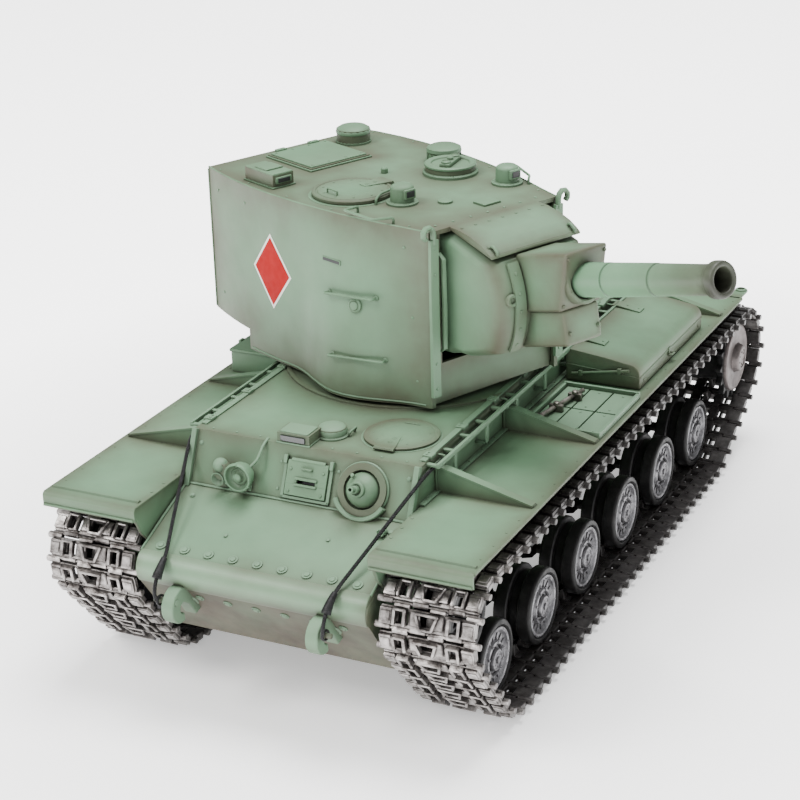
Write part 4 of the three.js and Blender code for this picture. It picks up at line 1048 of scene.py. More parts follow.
def turret_roof():
    bm = bmesh.new()
    # Hatch coaming, and the cupola with its bolts, cross bar and knobs.
    lathe(bm, [(20.6, -0.3), (20.6, 0.15), (20.2, 0.25), (15.8, 0.25), (15.8, -1.8)], 56, roof(*TURRET_HATCH))
    lathe(bm, [(13.2, -0.3), (13.2, 1.2), (12.6, 1.8), (11.6, 1.8), (11.2, 3.4), (12.4, 4.2), (12.4, 5),
               (11.6, 5.6), (9.4, 5.2), (9, 4.6), (0, 4.6)], 56, roof(*CUPOLA))
    bolt_ring(bm, roof(*CUPOLA), 8, 12.5, 10, 1.4, 0.5, 0.5)
    bar = roof(*CUPOLA) @ Matrix.Rotation(0.5, 4, "Z")
    block(bm, (-8.4, -2.6, 4.4), (8.4, 2.6, 6.6), bar, 0.6)
    for x in (-5.8, 5.8):
        lathe(bm, [(2.3, 6.2), (2.3, 7.2), (1.8, 7.6), (1.5, 7.1), (0, 7)], 20, bar @ at(x, 0, 0))
    lathe(bm, [(1.6, 6), (1.6, 7.6), (1.1, 8.2), (0, 8.3)], 16, roof(*CUPOLA))
    # Rear plate over the magazine: raised panel with its rim, hinges and countersunk bolts.
    block(bm, (-17, 55, 0.9), (17, 88, 2.2), roof(0, 0), 0.5)
    block(bm, (-18.8, 53.2, -0.2), (18.8, 89.8, 0.9), roof(0, 0), 0.35)
    for x in (-10, 10):
        block(bm, (x - 3, 87.6, 1.4), (x + 3, 90.4, 3), roof(0, 0), 0.5)
    for x in (-15, -5, 5, 15):
        for y in (57, 86):
            bolt(bm, roof(x, -y, 2.2), 0.55, 0.3)
    # Rear ventilator: a squat mushroom.
    lathe(bm, [(8.9, -0.3), (8.9, 0.9), (7.6, 1.3), (7.2, 4.2), (8.6, 4.8), (8.8, 5.8), (8.2, 7), (6.6, 8.1),
               (3.8, 8.8), (0, 9)], 48, roof(*REAR_VENT))
    bolt_ring(bm, roof(*REAR_VENT, 0.8), 6, 8.2, 20, 0, 0.5, 0.4)
    # Left front ventilator with a ring of slots.
    lathe(bm, [(9.3, -0.3), (9.3, 0.7), (8.2, 1), (7.9, 4.4), (8.6, 5.2), (8.3, 6.8), (6.6, 7.7), (3, 8.1),
               (0, 8.2)], 44, roof(*FRONT_VENT))
    for m in ring_of(14, 8.05):
        block(bm, (-0.3, -0.5, 1.4), (0.5, 0.5, 4), roof(*FRONT_VENT) @ m, 0.15, 1)
    # Rear right sight box.
    block(bm, (-48.8, 43.2, -0.2), (-35.2, 66.8, 0.8), roof(0, 0), 0.35)
    block(bm, (-48, 44, 5.2), (-36, 66, 7.2), roof(0, 0), 0.9)
    block(bm, (-46.6, 43.2, 2), (-37.4, 44.4, 5.2), roof(0, 0), 0.4)
    block(bm, (-46.8, 50, 7), (-37.2, 60, 8), roof(0, 0), 0.5)
    # Two cupped periscope hoods near the front, each on a bolted flange.
    for x, f in HOODS:
        lathe(bm, [(7.4, -0.3), (7.4, 0.9), (6.7, 1.3), (5.5, 1.4), (5.4, 7.2), (5, 8.2), (3.9, 8.9),
                   (2, 9.2), (0, 9.25)], 36, roof(x, f))
        bolt_ring(bm, roof(x, f, 1), 6, 6.6, 15, 0, 0.45, 0.4)
        block(bm, (-3.2, -6.1, 3), (3.2, -4.4, 7.6), roof(x, f), 0.5)
    # Thin grab rails.
    for points in (((-42, 12), (-51.4, 14), (-51, 34), (-41, 36)),
                   ((50, 14), (50.6, 16), (43.6, 33), (42, 34)), ((-29, 9), (-24, 6), (-16, 4), (-11.6, 7))):
        (x0, f0), (x1, f1), (x2, f2), (x3, f3) = points
        route = [(x0, -f0, 0), (x0, -f0, 2.8), (x1, -f1, 3.6), (x2, -f2, 3.6), (x3, -f3, 2.8), (x3, -f3, 0)]
        wire(bm, route, 0.62, roof(0, 0), 8, 1.4)
    # Bolts above the gun and along both rims, and a rim weld.
    for x in range(-30, 31, 10):
        bolt(bm, roof(x, 52.5 - 0.001 * x * x), 0.7, 0.4)
    for side in (1, -1):
        for f in (-88, -60, -30, 0, 26, 44):
            bolt(bm, roof(side * (half_width(f, TURRET_TOP) - 3), f), 0.6, 0.35)
    rim = [(-half_width(f, TURRET_TOP) + 0.4, -f, 0) for f, _ in ROOF_HALVES]
    other = [(half_width(f, TURRET_TOP) - 0.4, -f, 0) for f, _ in reversed(ROOF_HALVES)]
    for line in (rim, other):
        sweep(bm, line, ring_section(0.4, 6), roof(0, 0))
    # A small square cover and two plugs between the hoods.
    block(bm, (4, -46, -0.2), (14, -38, 1), roof(0, 0), 0.3)
    lathe(bm, [(3.4, -0.2), (3.4, 0.9), (2.8, 1.3), (0, 1.4)], 24, roof(-4, 28))
    lathe(bm, [(1.7, -0.2), (1.7, 2.2), (1.2, 2.8), (0, 2.9)], 16, roof(6, -28))
    return make("turret_roof_fittings", bm, PAINT, "turret")


def turret_walls():
    bm = bmesh.new()
    # Front corner strips with curled lifting hooks over the roof.
    for side in (1, -1):
        m = TURRET if side > 0 else TURRET @ FLIP
        x = 37.4
        path = [(x, -58.6, 92), (x, -58.6, 120), (x, -58.6, 150), (x, -58.9, 166)]
        sweep(bm, path, [(-2.2, -0.9), (2.2, -0.9), (2.2, 0.9), (-2.2, 0.9)], m)
        hook = [(x, -58.9, 164), (x, -58.9, 168.4), (x + 0.6, -58.9, 170.6), (x + 2.2, -58.9, 172),
                (x + 4.2, -58.9, 171.8), (x + 5.6, -58.9, 170.2), (x + 5.6, -58.9, 168.2),
                (x + 4.4, -58.9, 167)]
        sweep(bm, hook, [(a * 1.2, b * 1.5) for a, b in arc(0, 0, 1, 0, 330, 11)], m)
        bar = [(32.4, -56.2, 112), (32.4, -59.4, 114), (32.4, -59.8, 135), (32.4, -59.4, 156),
               (32.4, -56.2, 158)]
        sweep(bm, bar, [(-1, -0.6), (1, -0.6), (1, 0.6), (-1, 0.6)], m)
        for z in (96, 108, 150, 162):
            bolt(bm, m @ at(x, -59.4, z) @ AHEAD, 0.7, 0.5)
    # Vision slits with raised surrounds, pistol ports and rungs, on both walls.
    for side in (1, -1):
        block(bm, (-6.2, -1.1, -0.4), (6.2, 1.1, 0.35), wall(side, *SLIT), 0.3)
        lathe(bm, [(3.4, -0.4), (3.4, 0.9), (2.8, 1.3), (2.2, 1), (1.8, 1.6), (0, 1.8)], 28,
              wall(side, 21, 129.5))
        for f0, f1, z0, z1 in ((5, 31, 132.5, 134.5), (10, 36, 104.5, 106)):
            a, b = wall(side, f0, z0), wall(side, f1, z1)
            p, q = a.translation, b.translation
            na, nb = a.to_3x3() @ Vector((0, 0, 3.8)), b.to_3x3() @ Vector((0, 0, 3.8))
            wire(bm, [p, p + na, q + nb, q], 0.62, sides=8, corner=1.3)
            for m in (a, b):
                lathe(bm, [(1.3, -0.3), (1.3, 0.5), (0.9, 0.9), (0, 0.9)], 14, m)
        for f, z in ((-86, 160), (-86, 108), (-60, 160), (44, 160), (50, 98), (48, 128)):
            bolt(bm, wall(side, f, z), 0.7, 0.35)
        weld = [wall(side, -96.6, z, 0.1).translation for z in (98, 120, 145, 168)]
        sweep(bm, weld, ring_section(0.5, 6))
        foot = [wall(side, f, 87.1, 0.05).translation for f in range(-60, 57, 6)]
        sweep(bm, foot, ring_section(0.55, 6))
    # Strips above and below the rear door, and bolts on the rear wall.
    block(bm, (-18, 96.6, 105.4), (18, 97.24, 107.2), TURRET, 0.2)
    block(bm, (-18, 96.6, 152.8), (21, 97.24, 154.6), TURRET, 0.2)
    for x in (-44, -30, 30, 44):
        for z in (103, 130, 160):
            bolt(bm, TURRET @ at(x, 97, z) @ ALONG_Y, 0.7, 0.4)
    return make("turret_wall_fittings", bm, PAINT, "turret")


def turret_slits():
    """Black blocks in the vision slits and the other openings: painted shade for their dark insides."""
    bm = bmesh.new()
    for side in (1, -1):
        block(bm, (-5.6, -0.7, 0), (5.6, 0.7, 0.5), wall(side, *SLIT), 0.1, 1)
    for x, f in HOODS:
        block(bm, (-2.2, -6.35, 4), (2.2, -6, 6.8), roof(x, f), 0.2)
    block(bm, (-45.4, 42.9, 2.6), (-38.6, 43.3, 4.6), roof(0, 0), 0.2)
    return make("turret_slits", bm, BLACK, "turret")


def gun_brow():
    """The curved sheet that shields the top of the gun's opening, with its bolts."""
    bm = bmesh.new()
    outline = [(-56.5, 169.35), (-64, 168.95), (-71, 167.7), (-78, 165.4), (-82.4, 163), (-84.5, 161.5),
               (-84.9, 160.4), (-84, 160.4), (-83.2, 161.6), (-58, 168.4)]
    prism(bm, outline, -26.6, 26.6, TURRET @ PROFILE, 0.4, 2)
    for x in range(-24, 25, 8):
        bolt(bm, TURRET @ at(x, -62.5, 169), 0.7, 0.4)
    for x in (-24, 24):
        hex_bolt(bm, TURRET @ at(x, -80, 164.4) @ Matrix.Rotation(28 * RAD, 4, "X"), 0.8, 0.6)
    corners = [TURRET @ Vector((x, y, z)) for x in range(-26, 27, 2)
               for y, z in ((-84.5, 161.5), (-56.5, 169))]
    corners += [TURRET @ Vector((x, y, 169 - max(0, -y - 60) ** 2 * 0.0125)) for x in (-26.5, 26.5)
                for y in range(-84, -56, 2)]
    fine(bm, 4)
    return make("gun_brow", bm, PAINT, "turret", mask_points=corners, reach=5)


def turret_splash_ring():
    """The race under the turret: a low ring that turns with it."""
    bm = bmesh.new()
    lathe(bm, [(46.6, 84.0), (46.6, 85.5), (44.5, 86), (42.5, 86), (42.5, 84.0)], 96, at(0, TURRET_Y, 0),
          closed=True)
    return make("turret_race", bm, PAINT_TRIM, "turret")


turret_roof()
turret_walls()
turret_slits()
gun_brow()
turret_splash_ring()
hatch_lid("turret_hatch_lid", "turret_hatch", 19, roof(*TURRET_HATCH, 0.3), 0)


def rear_door():
    bm = bmesh.new()
    block(bm, (-15, 97.3, 108), (15, 99.5, 152), TURRET, 0.6)
    block(bm, (-12, 99.3, 111), (12, 100, 149), TURRET, 0.5)
    for z in (114, 142):
        block(bm, (2, 99.3, z), (16.5, 101, z + 8), TURRET, 0.5)
        wire(bm, [(17.4, 98.6, z - 0.4), (17.4, 98.6, z + 8.4)], 1.5, TURRET, 12)
        for x in (5, 9, 13):
            hex_bolt(bm, TURRET @ at(x, 101, z + 4) @ ALONG_Y, 0.8, 0.6)
    rows = [(6.2 * math.cos(t * RAD), 6.2 * math.sin(t * RAD)) for t in range(0, 86, 8)]
    place = TURRET @ at(-2, 99.6, 130) @ ALONG_Y
    lathe(bm, [(8.4, -0.3), (8.4, 1), (7.6, 1.6), (6.5, 1.2)] + rows + [(0, 6.2)], 40, place)
    lathe(bm, [(2.2, 5), (2.2, 7), (1.3, 7.2), (1.3, 9), (0.7, 9), (0, 8)], 16, place)
    bolt_ring(bm, place, 8, 7.6, 0, 0.9, 0.45, 0.5)
    wire(bm, [(-12.6, 99.4, 120), (-12.6, 102, 121), (-12.6, 102, 127), (-12.6, 99.4, 128)], 0.6, TURRET)
    corners = [TURRET @ Vector((x, 99.5, z)) for x in range(-15, 16) for z in (108, 152)]
    corners += [TURRET @ Vector((x, 99.5, z)) for x in (-15, 15) for z in range(108, 153)]
    fine(bm, 4)
    return make("rear_door_panel", bm, PAINT, "rear_door", ["rear_door"], mask_points=corners,
                reach=5)


rear_door()


# ---------- Gun, in its own frame: the trunnion at the origin, the muzzle along -Y ----------
def mantlet():
    """A deep curved shield between two cheeks, and the sloping box that holds the recoil gear."""
    top = arc(0, 0, 41.5, -43, 17.8, 22)
    brow = (31.2 * math.cos(58.8 * RAD), 31.2 * math.sin(58.8 * RAD))
    outline = top + [brow] + arc(0, 0, 30, 74, 104, 5) + arc(0, 0, 28.5, -104, -80, 5)
    outline += [(32 * math.cos(-67.7 * RAD), 32 * math.sin(-67.7 * RAD))]
    bm = bmesh.new()
    part = bmesh.new()
    rows = []
    ends = [28, 27.9, 27.5, 26.8, 25.8, 24.4, 22.6, 20.5]
    for x in [-e for e in ends] + [-16, -8, 0, 8, 16] + ends[::-1]:
        round_off = max(0, (abs(x) - 20.5) / 7.5)
        scale = 1 - 0.15 * (1 - math.sqrt(max(0, 1 - round_off ** 2)))
        rows.append([(x, -f * scale, z * scale) for f, z in outline])
    loft(part, rows)
    corners = [GUN @ Vector((x, -f * 0.985, z * 0.985)) for x in (-26, 26) for f, z in outline[:23]]
    merge(bm, part, GUN)
    # The recoil box, upper and lower halves.
    upper_box = [(-38, 14.2), (-71.8, 13.8), (-61.6, -11.6), (-36, -11.6)]
    lower_box = [(-36, -11.2), (-61.6, -11.2), (-60.8, -27.4), (-30, -28.4)]
    for outline, half in ((upper_box, 12.5), (lower_box, 10.5)):
        part = bmesh.new()
        loft(part, [[(x, y, z) for y, z in outline] for x in (-half, half)])
        corners += [GUN @ p for p in edge_points(part, 24)]
        round_edges(part, 1.5, 4, 24)
        merge(bm, part, GUN)
    # Two bolted bands round the shield, standing just proud of it.
    for s in (1, -1):
        band = [(s * 16.6, -42.1 * math.cos(a * RAD), 42.1 * math.sin(a * RAD)) for a in range(-41, 17, 3)]
        sweep(bm, band, [(-3, -0.9), (3, -0.9), (3, 0.3), (2.5, 0.6), (-2.5, 0.6), (-3, 0.3)], GUN)
        for a in (-36, -25, -14, -3, 9):
            bolt(bm, GUN @ Matrix.Rotation(-a * RAD, 4, "X") @ at(s * 16.8, -42.5, 0) @ AHEAD, 0.95, 0.9)
    # The box's front: a bolted collar round the barrel, and bolts down the face.
    collar = GUN @ at(0, -65.6, 0) @ AHEAD
    lathe(bm, [(10.6, -3), (10.6, 0.9), (10, 1.7), (8.9, 1.9), (8.2, 1.4), (8.2, -3)], 44, collar)
    bolt_ring(bm, collar, 8, 9.6, 22, 1.6, 0.5, 0.5)
    for x in (-10.6, 10.6):
        hex_bolt(bm, GUN @ at(x, -70.6, 11) @ AHEAD, 0.8, 0.9)
        hex_bolt(bm, GUN @ at(x, -62.4, -9.4) @ AHEAD, 0.8, 0.9)
        hex_bolt(bm, GUN @ at(x * 0.8, -61.4, -22) @ AHEAD, 0.8, 0.9)
    # Sight port, gun port and two lifting eyes on the shield.
    face = GUN @ Matrix.Rotation(-8 * RAD, 4, "X") @ at(21, -41.5, 0) @ AHEAD
    lathe(bm, [(3.6, -2), (3.6, 0.8), (3, 1.4), (2.2, 1.2), (1.9, 0.4), (0, 0.2)], 28, face)
    face = GUN @ Matrix.Rotation(6 * RAD, 4, "X") @ at(-21, -41.5, 0) @ AHEAD
    lathe(bm, [(3, -2), (3, 0.8), (2.5, 1.3), (1.5, 1.1), (1.3, 0.2), (0, 0)], 28, face)
    for x in (-23, 23):
        wire(bm, [(x, -37.6, 15.6), (x, -40.4, 17), (x, -38, 20.4), (x, -35.6, 19.4)], 0.8, GUN, 8, 1)
    fine(bm, 4)
    return make("mantlet_shield", bm, PAINT_CAST, "gun", ["mantlet"], mask_points=corners, reach=5)


def barrel():
    bm = bmesh.new()
    profile = [(0, 33), (7.5, 33), (7.5, 66), (7.55, 69), (7.5, 83.5), (6.9, 83.8), (6.9, 84.7), (7.4, 85),
               (7.25, 98), (7.1, 111.5), (6.5, 111.8), (6.5, 112.7), (6.95, 113), (6.6, 130), (6.45, 138),
               (6.5, 142.5), (6.9, 143.6), (7.5, 144.1), (7.85, 144.6), (7.9, 146), (7.85, 148), (7.5, 148.8),
               (7, 149.1), (6, 149.1), (5.4, 148.7), (5.1, 148), (5, 120), (4.8, 104), (0, 103)]
    place = GUN @ AHEAD
    lathe(bm, profile, 64, place)
    bmesh.ops.triangulate(bm, faces=[f for f in bm.faces if len(f.verts) > 4])
    back = place.inverted()
    layer = bm.verts.layers.float.new("along")
    for v in bm.verts:
        p = back @ v.co
        v[layer] = 1 if (p.z > 102 and math.hypot(p.x, p.y) < 5.3) else max(0, min(1, (p.z - 60) / 89))
    return make("howitzer_barrel", bm, BARREL, "gun", ["gun_barrel"], smooth=50)


mantlet()
barrel()
refined("gun_cradle", "gun_unit", BLACK, "gun", 0.4, 12)
refined("turret_ring_base", "turret_base", BLACK, "turret", 0.3, 12)


# ---------- A plain mark on the turret's walls: a red diamond with a pale rim ----------
shell_tree = BVHTree.FromPolygons([v.co / MM for v in shell.data.vertices],
                                  [p.vertices[:] for p in shell.data.polygons])


def on_shell(place, out):
    """The point on the turret's own surface under a place on its wall, raised by `out`."""
    toward = -place.col[2].to_3d().normalized()
    hit = shell_tree.ray_cast(place.translation - toward * 6, toward)[0]
    return (hit or place.translation) - toward * out


def wall_mark(name, size, material, out):
    bm = bmesh.new()
    for side in (1, -1):
        rows = []
        steps = 30
        for i in range(steps + 1):
            u = -size + 2 * size * i / steps
            reach = (size - abs(u)) * 1.28
            rows.append([on_shell(wall(side, MARK[0] + u, MARK[1] + v * reach), out)
                         for v in (-1, -0.5, 0, 0.5, 1)])
        verts = [[bm.verts.new(p) for p in row] for row in rows]
        for a, b in zip(verts, verts[1:]):
            for k in range(4):
                bm.faces.new((a[k], b[k], b[k + 1], a[k + 1]))
    bmesh.ops.remove_doubles(bm, verts=bm.verts[:], dist=0.001)
    return make(name, bm, material, "turret")


wall_mark("mark_rim", 14.6, WHITE, 0.1)
wall_mark("mark_field", 13.1, RED, 0.2)


# ---------- Fenders and what stands on them ----------
def fender(side, name, node):
    bm = bmesh.new()
    m = MIRROR[side]
    inner, outer, top = 56.3, 103.75, FENDER_Z
    block(bm, (inner, -184.5, top - 1.2), (outer, 166, top), m, 0.35)
    # Rounded front edge that turns down, with a pressed ridge behind it.
    outline = [(-184, top - 0.02), *arc(-184.2, top - 2, 1.98, 90, 180, 7), (-186.1, top - 6.6),
               (-185.1, top - 6.8), *arc(-184.2, top - 2, 0.9, 180, 90, 5), (-184, top - 1.18)]
    prism(bm, outline, inner, outer, m @ PROFILE, 0.15, 1)
    sweep(bm, [(inner + 1.4, -179.4, top), (outer - 1.4, -179.4, top)], [(-1.3, -0.2), (1.3, -0.2),
                                                                         (0.7, 0.85), (-0.7, 0.85)], m)
    sweep(bm, [(inner + 0.6, -186.3, top - 5.9), (outer - 0.6, -186.3, top - 5.9)], ring_section(0.75, 8), m)
    # Rolled outer edge.
    sweep(bm, [(outer - 0.5, -184.5, top - 0.7), (outer - 0.5, 165, top - 0.7)], ring_section(0.85, 8), m)
    # Splash plate between the fender's inner edge and the glacis.
    outline = [(-184.6, 65), (-184.6, 60.4), (-180, 51), (-174.5, 45.4), (-150, 46), (-141, 65)]
    prism(bm, outline, 57.0, 58.2, m @ PROFILE, 0.3)
    sweep(bm, [(57.6, -184.2, 60.6), (57.6, -179.6, 51.4), (57.6, -174.8, 46.6)], ring_section(0.8, 8), m)
    for y in (-178, -168, -158, -148):
        bolt(bm, m @ at(58.4, y, top), 0.7, 0.35)
    # Triangular struts with folded flanges, feet and bolts.
    for y in (-119, -45.5, 134):
        outline = [(inner, top - 0.2), (101.5, top - 0.2), (101.5, top + 0.9), (inner, top + 12.4)]
        prism(bm, outline, y - 0.6, y + 0.6, m @ CROSS, 0.25)
        flange = [(inner, y + 1.2, top + 12.2), (101.5, y + 1.2, top + 0.9)]
        sweep(bm, flange, [(-2.2, -0.45), (2.2, -0.45), (2.2, 0.45), (-2.2, 0.45)], m)
        block(bm, (60, y + 0.3, top - 0.1), (101.8, y + 4.2, top + 0.8), m, 0.3)
        block(bm, (inner - 0.1, y - 1.4, top), (inner + 1, y + 4, top + 14), m, 0.3)
        for x in (64, 76, 88, 99):
            bolt(bm, m @ at(x, y + 2.6, top + 0.8), 0.7, 0.45)
        for z in (top + 3.4, top + 11.4):
            bolt(bm, m @ at(inner + 1, y + 2.6, z) @ ALONG_X, 0.6, 0.4)
    # Rounded rear tongue with its hole, and rivets along the outer edge.
    outline = [(95.8, 164), (95.8, 177.4), *arc(99.25, 177.6, 3.45, 180, 0, 10), (102.7, 164)]
    prism(bm, outline, top - 1.2, top, m, 0.3)
    lathe(bm, [(2.9, -0.1), (2.9, 0.6), (2.4, 0.9), (1.8, 0.9), (1.8, -0.1)], 24, m @ at(99.25, 177, top),
          closed=True)
    for i in range(26):
        bolt(bm, m @ at(outer - 3, -172 + i * 13.2, top), 0.45, 0.25)
    corners = [m @ Vector((x, y, top)) for x in (inner, outer) for y in range(-184, 167, 3)]
    corners += [m @ Vector((x, y, top)) for x in range(56, 104, 3)
                for y in (-185, -121, -117, -47.5, -43.5, 132, 136, 166)]
    fine(bm, 4)
    return make(name, bm, PAINT_HULL, "hull", [node], mask_points=corners, reach=5)


fender(1, "fender_plate_left", "fender_left")
fender(-1, "fender_plate_right", "fender_right")


def stowage_box():
    bm = bmesh.new()
    low = FENDER_Z + 0.3
    outline = [(60, low), (98, low), (98, low + 5), *arc(92.4, low + 6.6, 5.6, 0, 78, 8), (80, low + 14.2),
               (62, low + 16.2), (60.4, low + 15.6), (60, low + 14.8)]
    part = bmesh.new()
    loft(part, [[(x, y, z) for x, z in outline] for y in (22, 114)])
    corners = edge_points(part, 24)
    round_edges(part, 0.7, 3)
    merge(bm, part)
    # The lid's line: a thin bead round the box below the curve, hinges and a hasp.
    sweep(bm, [(98.1, 22.4, low + 6), (98.1, 113.6, low + 6)], ring_section(0.35, 6))
    for y in (21.9, 114.1):
        sweep(bm, [(60.6, y, low + 8.4), (97.6, y, low + 6)], ring_section(0.35, 6))
    lid = lambda x, y, z: frame_of((x, y, z), (0, 1, 0), (-0.987, 0, 0.16))
    for y in (38, 88):
        block(bm, (-3.4, -5, -0.2), (3.4, 8, 0.9), lid(70, y, low + 15.4), 0.35)
        wire(bm, [(60.6, y - 4, low + 16.4), (60.6, y + 4, low + 16.4)], 1.1)
        for k in (-3, 3):
            bolt(bm, lid(70, y, low + 15.4) @ at(0, k, 0.8), 0.55, 0.4)
    block(bm, (-1.8, -1.2, 0), (1.8, 3, 0.8), frame_of((98, 64, low + 4), (0, 1, 0), (0, 0, 1)), 0.3)
    wire(bm, [(98.2, 62.2, low + 3.4), (100.2, 62.2, low + 4), (100.2, 65.8, low + 4),
              (98.2, 65.8, low + 3.4)], 0.5, corner=0.8)
    # A diagonal rod on the front end, in two clips.
    wire(bm, [(63.5, 20.9, low + 4), (93, 20.9, low + 9.4)], 0.75, sides=10)
    for x, z in ((68, 4.8), (88, 8.5)):
        block(bm, (x - 1, 20, low + z - 1.4), (x + 1, 22.2, low + z + 1.4), HERE, 0.3)
    for y in (28, 108):
        bolt(bm, frame_of((98, y, low + 3), (0, 1, 0), (0, 0, 1)), 0.8, 0.4)
    fine(bm, 4)
    return make("stowage_box_body", bm, PAINT, "hull", ["stowage_box"], mask_points=corners, reach=8)


def fender_tray():
    """A low tray of flat panels beside the turret, two tools in clips, and tool boxes opposite."""
    bm = bmesh.new()
    top = FENDER_Z
    for x in (64, 101):
        block(bm, (x - 0.8, -40, top - 0.1), (x + 0.8, 12, top + 3), HERE, 0.3)
    for i in range(3):
        for y0, y1 in ((-38.6, -14), (-13, 11)):
            x = 65.4 + i * 11.9
            block(bm, (x, y0, top + 0.2), (x + 11.2, y1, top + 1.5), HERE, 0.35)
            bolt(bm, at(x + 5.6, y0 + 3, top + 1.5), 0.6, 0.35)
            bolt(bm, at(x + 5.6, y1 - 3, top + 1.5), 0.6, 0.35)
    for y in (-40, 12):
        block(bm, (63.2, y - 0.8, top - 0.1), (101.8, y + 0.8, top + 3.4), HERE, 0.3)
    for x in (66, 74, 82, 90, 98):
        bolt(bm, at(x, -40, top + 3.4), 0.5, 0.3)
    make("fender_rack", bm, PAINT_TRIM, "hull")
    bm = bmesh.new()
    # Pry bar and a track wrench in their clips.
    wire(bm, [(69, -33, top + 3.6), (76, 4, top + 3.6)], 1.2, sides=10)
    lathe(bm, [(2.6, -1.1), (3.3, -0.6), (3.3, 0.6), (2.6, 1.1), (1.5, 1.1), (1.5, -1.1)], 20,
          at(68.4, -35, top + 3.6), closed=True)
    block(bm, (68.6, -21, top + 1.2), (75.4, -18.6, top + 5), HERE, 0.4)
    block(bm, (71.6, -5, top + 1.2), (78.4, -2.6, top + 5), HERE, 0.4)
    for x, y in ((72, -19.8), (75, -3.8)):
        lathe(bm, [(1.5, 4.8), (1.5, 6), (1, 6.4), (0, 6.4)], 16, at(x, y, top))
    make("rack_tools", bm, BRIGHT, "hull")
    bm = bmesh.new()
    # Right fender: two flat tool boxes with lids and catches.
    for y0, y1 in ((-30, 30), (44, 104)):
        block(bm, (-98, y0, top), (-66, y1, top + 11), HERE, 0.7)
        block(bm, (-98.6, y0 - 0.5, top + 10.6), (-65.6, y1 + 0.5, top + 12.2), HERE, 0.5)
        for y in (y0 + 12, y1 - 12):
            block(bm, (-99.4, y - 2, top + 5), (-97.8, y + 2, top + 12.8), HERE, 0.35)
            wire(bm, [(-66, y - 3, top + 12), (-66, y + 3, top + 12)], 1.0)
        middle = (y0 + y1) / 2
        wire(bm, [(x, middle + y, top + 6) for x, y in ((-98, -5), (-100.6, -5), (-100.6, 5), (-98, 5))], 0.6)
    return make("tool_boxes", bm, PAINT, "hull")


stowage_box()
fender_tray()


# ---------- Tow cables ----------
CABLE_ROUTE = [(40.4, -198.1, 31.2), (40.8, -198.2, 35.0), (41.0, -195.6, 40.2), (41.2, -190.6, 44.6),
               (41.8, -185.6, 47.6), (44.0, -178.4, 52.2), (47.2, -168.4, 58.4), (50.4, -158.2, 64.8),
               (53.6, -148.0, 71.2), (56.2, -139.8, 76.2), (57.8, -133.0, 79.4), (58.0, -124.0, 80.0),
               (58.0, -100.0, 80.0), (58.0, -60.0, 80.0), (58.0, -20.0, 80.0), (58.0, 20.0, 80.0),
               (58.0, 60.0, 80.0), (58.0, 90.0, 80.0), (58.0, 115.3, 80.0)]


def smooth_path(points, spacing):
    """A centripetal spline through points, resampled at even spacing."""
    points = [Vector(p) for p in points]
    ends = [points[0] * 2 - points[1]] + points + [points[-1] * 2 - points[-2]]
    dense = []
    for i in range(1, len(ends) - 2):
        p = ends[i - 1:i + 3]
        t = [0.0]
        for a, b in zip(p, p[1:]):
            t.append(t[-1] + max(1e-6, (b - a).length ** 0.5))
        for k in range(24):
            s = t[1] + (t[2] - t[1]) * k / 24
            lerp = lambda a, b, ta, tb: a * ((tb - s) / (tb - ta)) + b * ((s - ta) / (tb - ta))
            a1, a2, a3 = (lerp(p[j], p[j + 1], t[j], t[j + 1]) for j in range(3))
            b1, b2 = lerp(a1, a2, t[0], t[2]), lerp(a2, a3, t[1], t[3])
            dense.append(lerp(b1, b2, t[1], t[2]))
    dense.append(points[-1])
    even, left = [dense[0]], spacing
    for a, b in zip(dense, dense[1:]):
        step = (b - a).length
        while step >= left:
            a = a + (b - a).normalized() * left
            even.append(a)
            step = (b - a).length
            left = spacing
        left -= step
    even.append(dense[-1])
    return even


def tow_cable(side, name, node):
    """Six strands laid round a core, in one mesh, with its eyes and ferrules as their own pieces."""
    path = smooth_path([(side * x, y, z) for x, y, z in CABLE_ROUTE], 1.1)
    strands = []
    for k in range(60):
        a = 2 * math.pi * k / 60
        r = 0.62 + 0.28 * abs(math.cos(3 * a))
        strands.append((r * math.cos(a), r * math.sin(a)))
    bm = bmesh.new()
    sweep(bm, path, strands, twist=38)
    cable = make(name, bm, STRAND, "hull", [node], smooth=60)
    bm = bmesh.new()
    for x, y, z, aim in ((40, -195, 30, (0, -0.6, 1)), (58, 118, 80, (0, -1, 0))):
        place = frame_of((side * x, y, z), aim, (0, 1, 0.2) if aim[2] else (0, 0, 1))
        loop = [(2.55 * math.cos(t * RAD), 2.55 * math.sin(t * RAD), 0) for t in range(0, 360, 18)]
        sweep(bm, loop, ring_section(0.72, 10), place, closed=True)
    for i, j in ((9, 18), (len(path) - 9, len(path) - 2)):
        for k in range(i, j):
            sweep(bm, path[k:k + 2], ring_section(2.2 - 0.95 * abs(k - i) / (j - i), 14))
    eyes = make(name + "_eyes", bm, STRAND, "hull")
    return cable


tow_cable(1, "tow_rope_left", "tow_cable_left")
tow_cable(-1, "tow_rope_right", "tow_cable_right")


# ---------- Running gear ----------
TRACK_X = 81.75                # the middle of each track
WHEEL_Z = -2.0
WHEEL_YS = [-134 + 53.5 * i for i in range(6)]
ARM_BACK, ARM_UP = 20, 8       # from a wheel's axle to its arm's pivot
ROLLER_YS = [-86, 0, 86]
ROLLER_Z = 41
SPROCKET = (177, 27)
IDLER = (-162.5, 32)
# The wheels that the belt runs round, in its order: (y, z, radius of the belt's inner line).
CIRCLES = [(WHEEL_YS[0], WHEEL_Z, 18.5), (WHEEL_YS[-1], WHEEL_Z, 18.5), (*SPROCKET, 23.5),
           (ROLLER_YS[-1], ROLLER_Z, 10.6), (ROLLER_YS[0], ROLLER_Z, 10.6), (*IDLER, 19.5)]
LINKS = 84


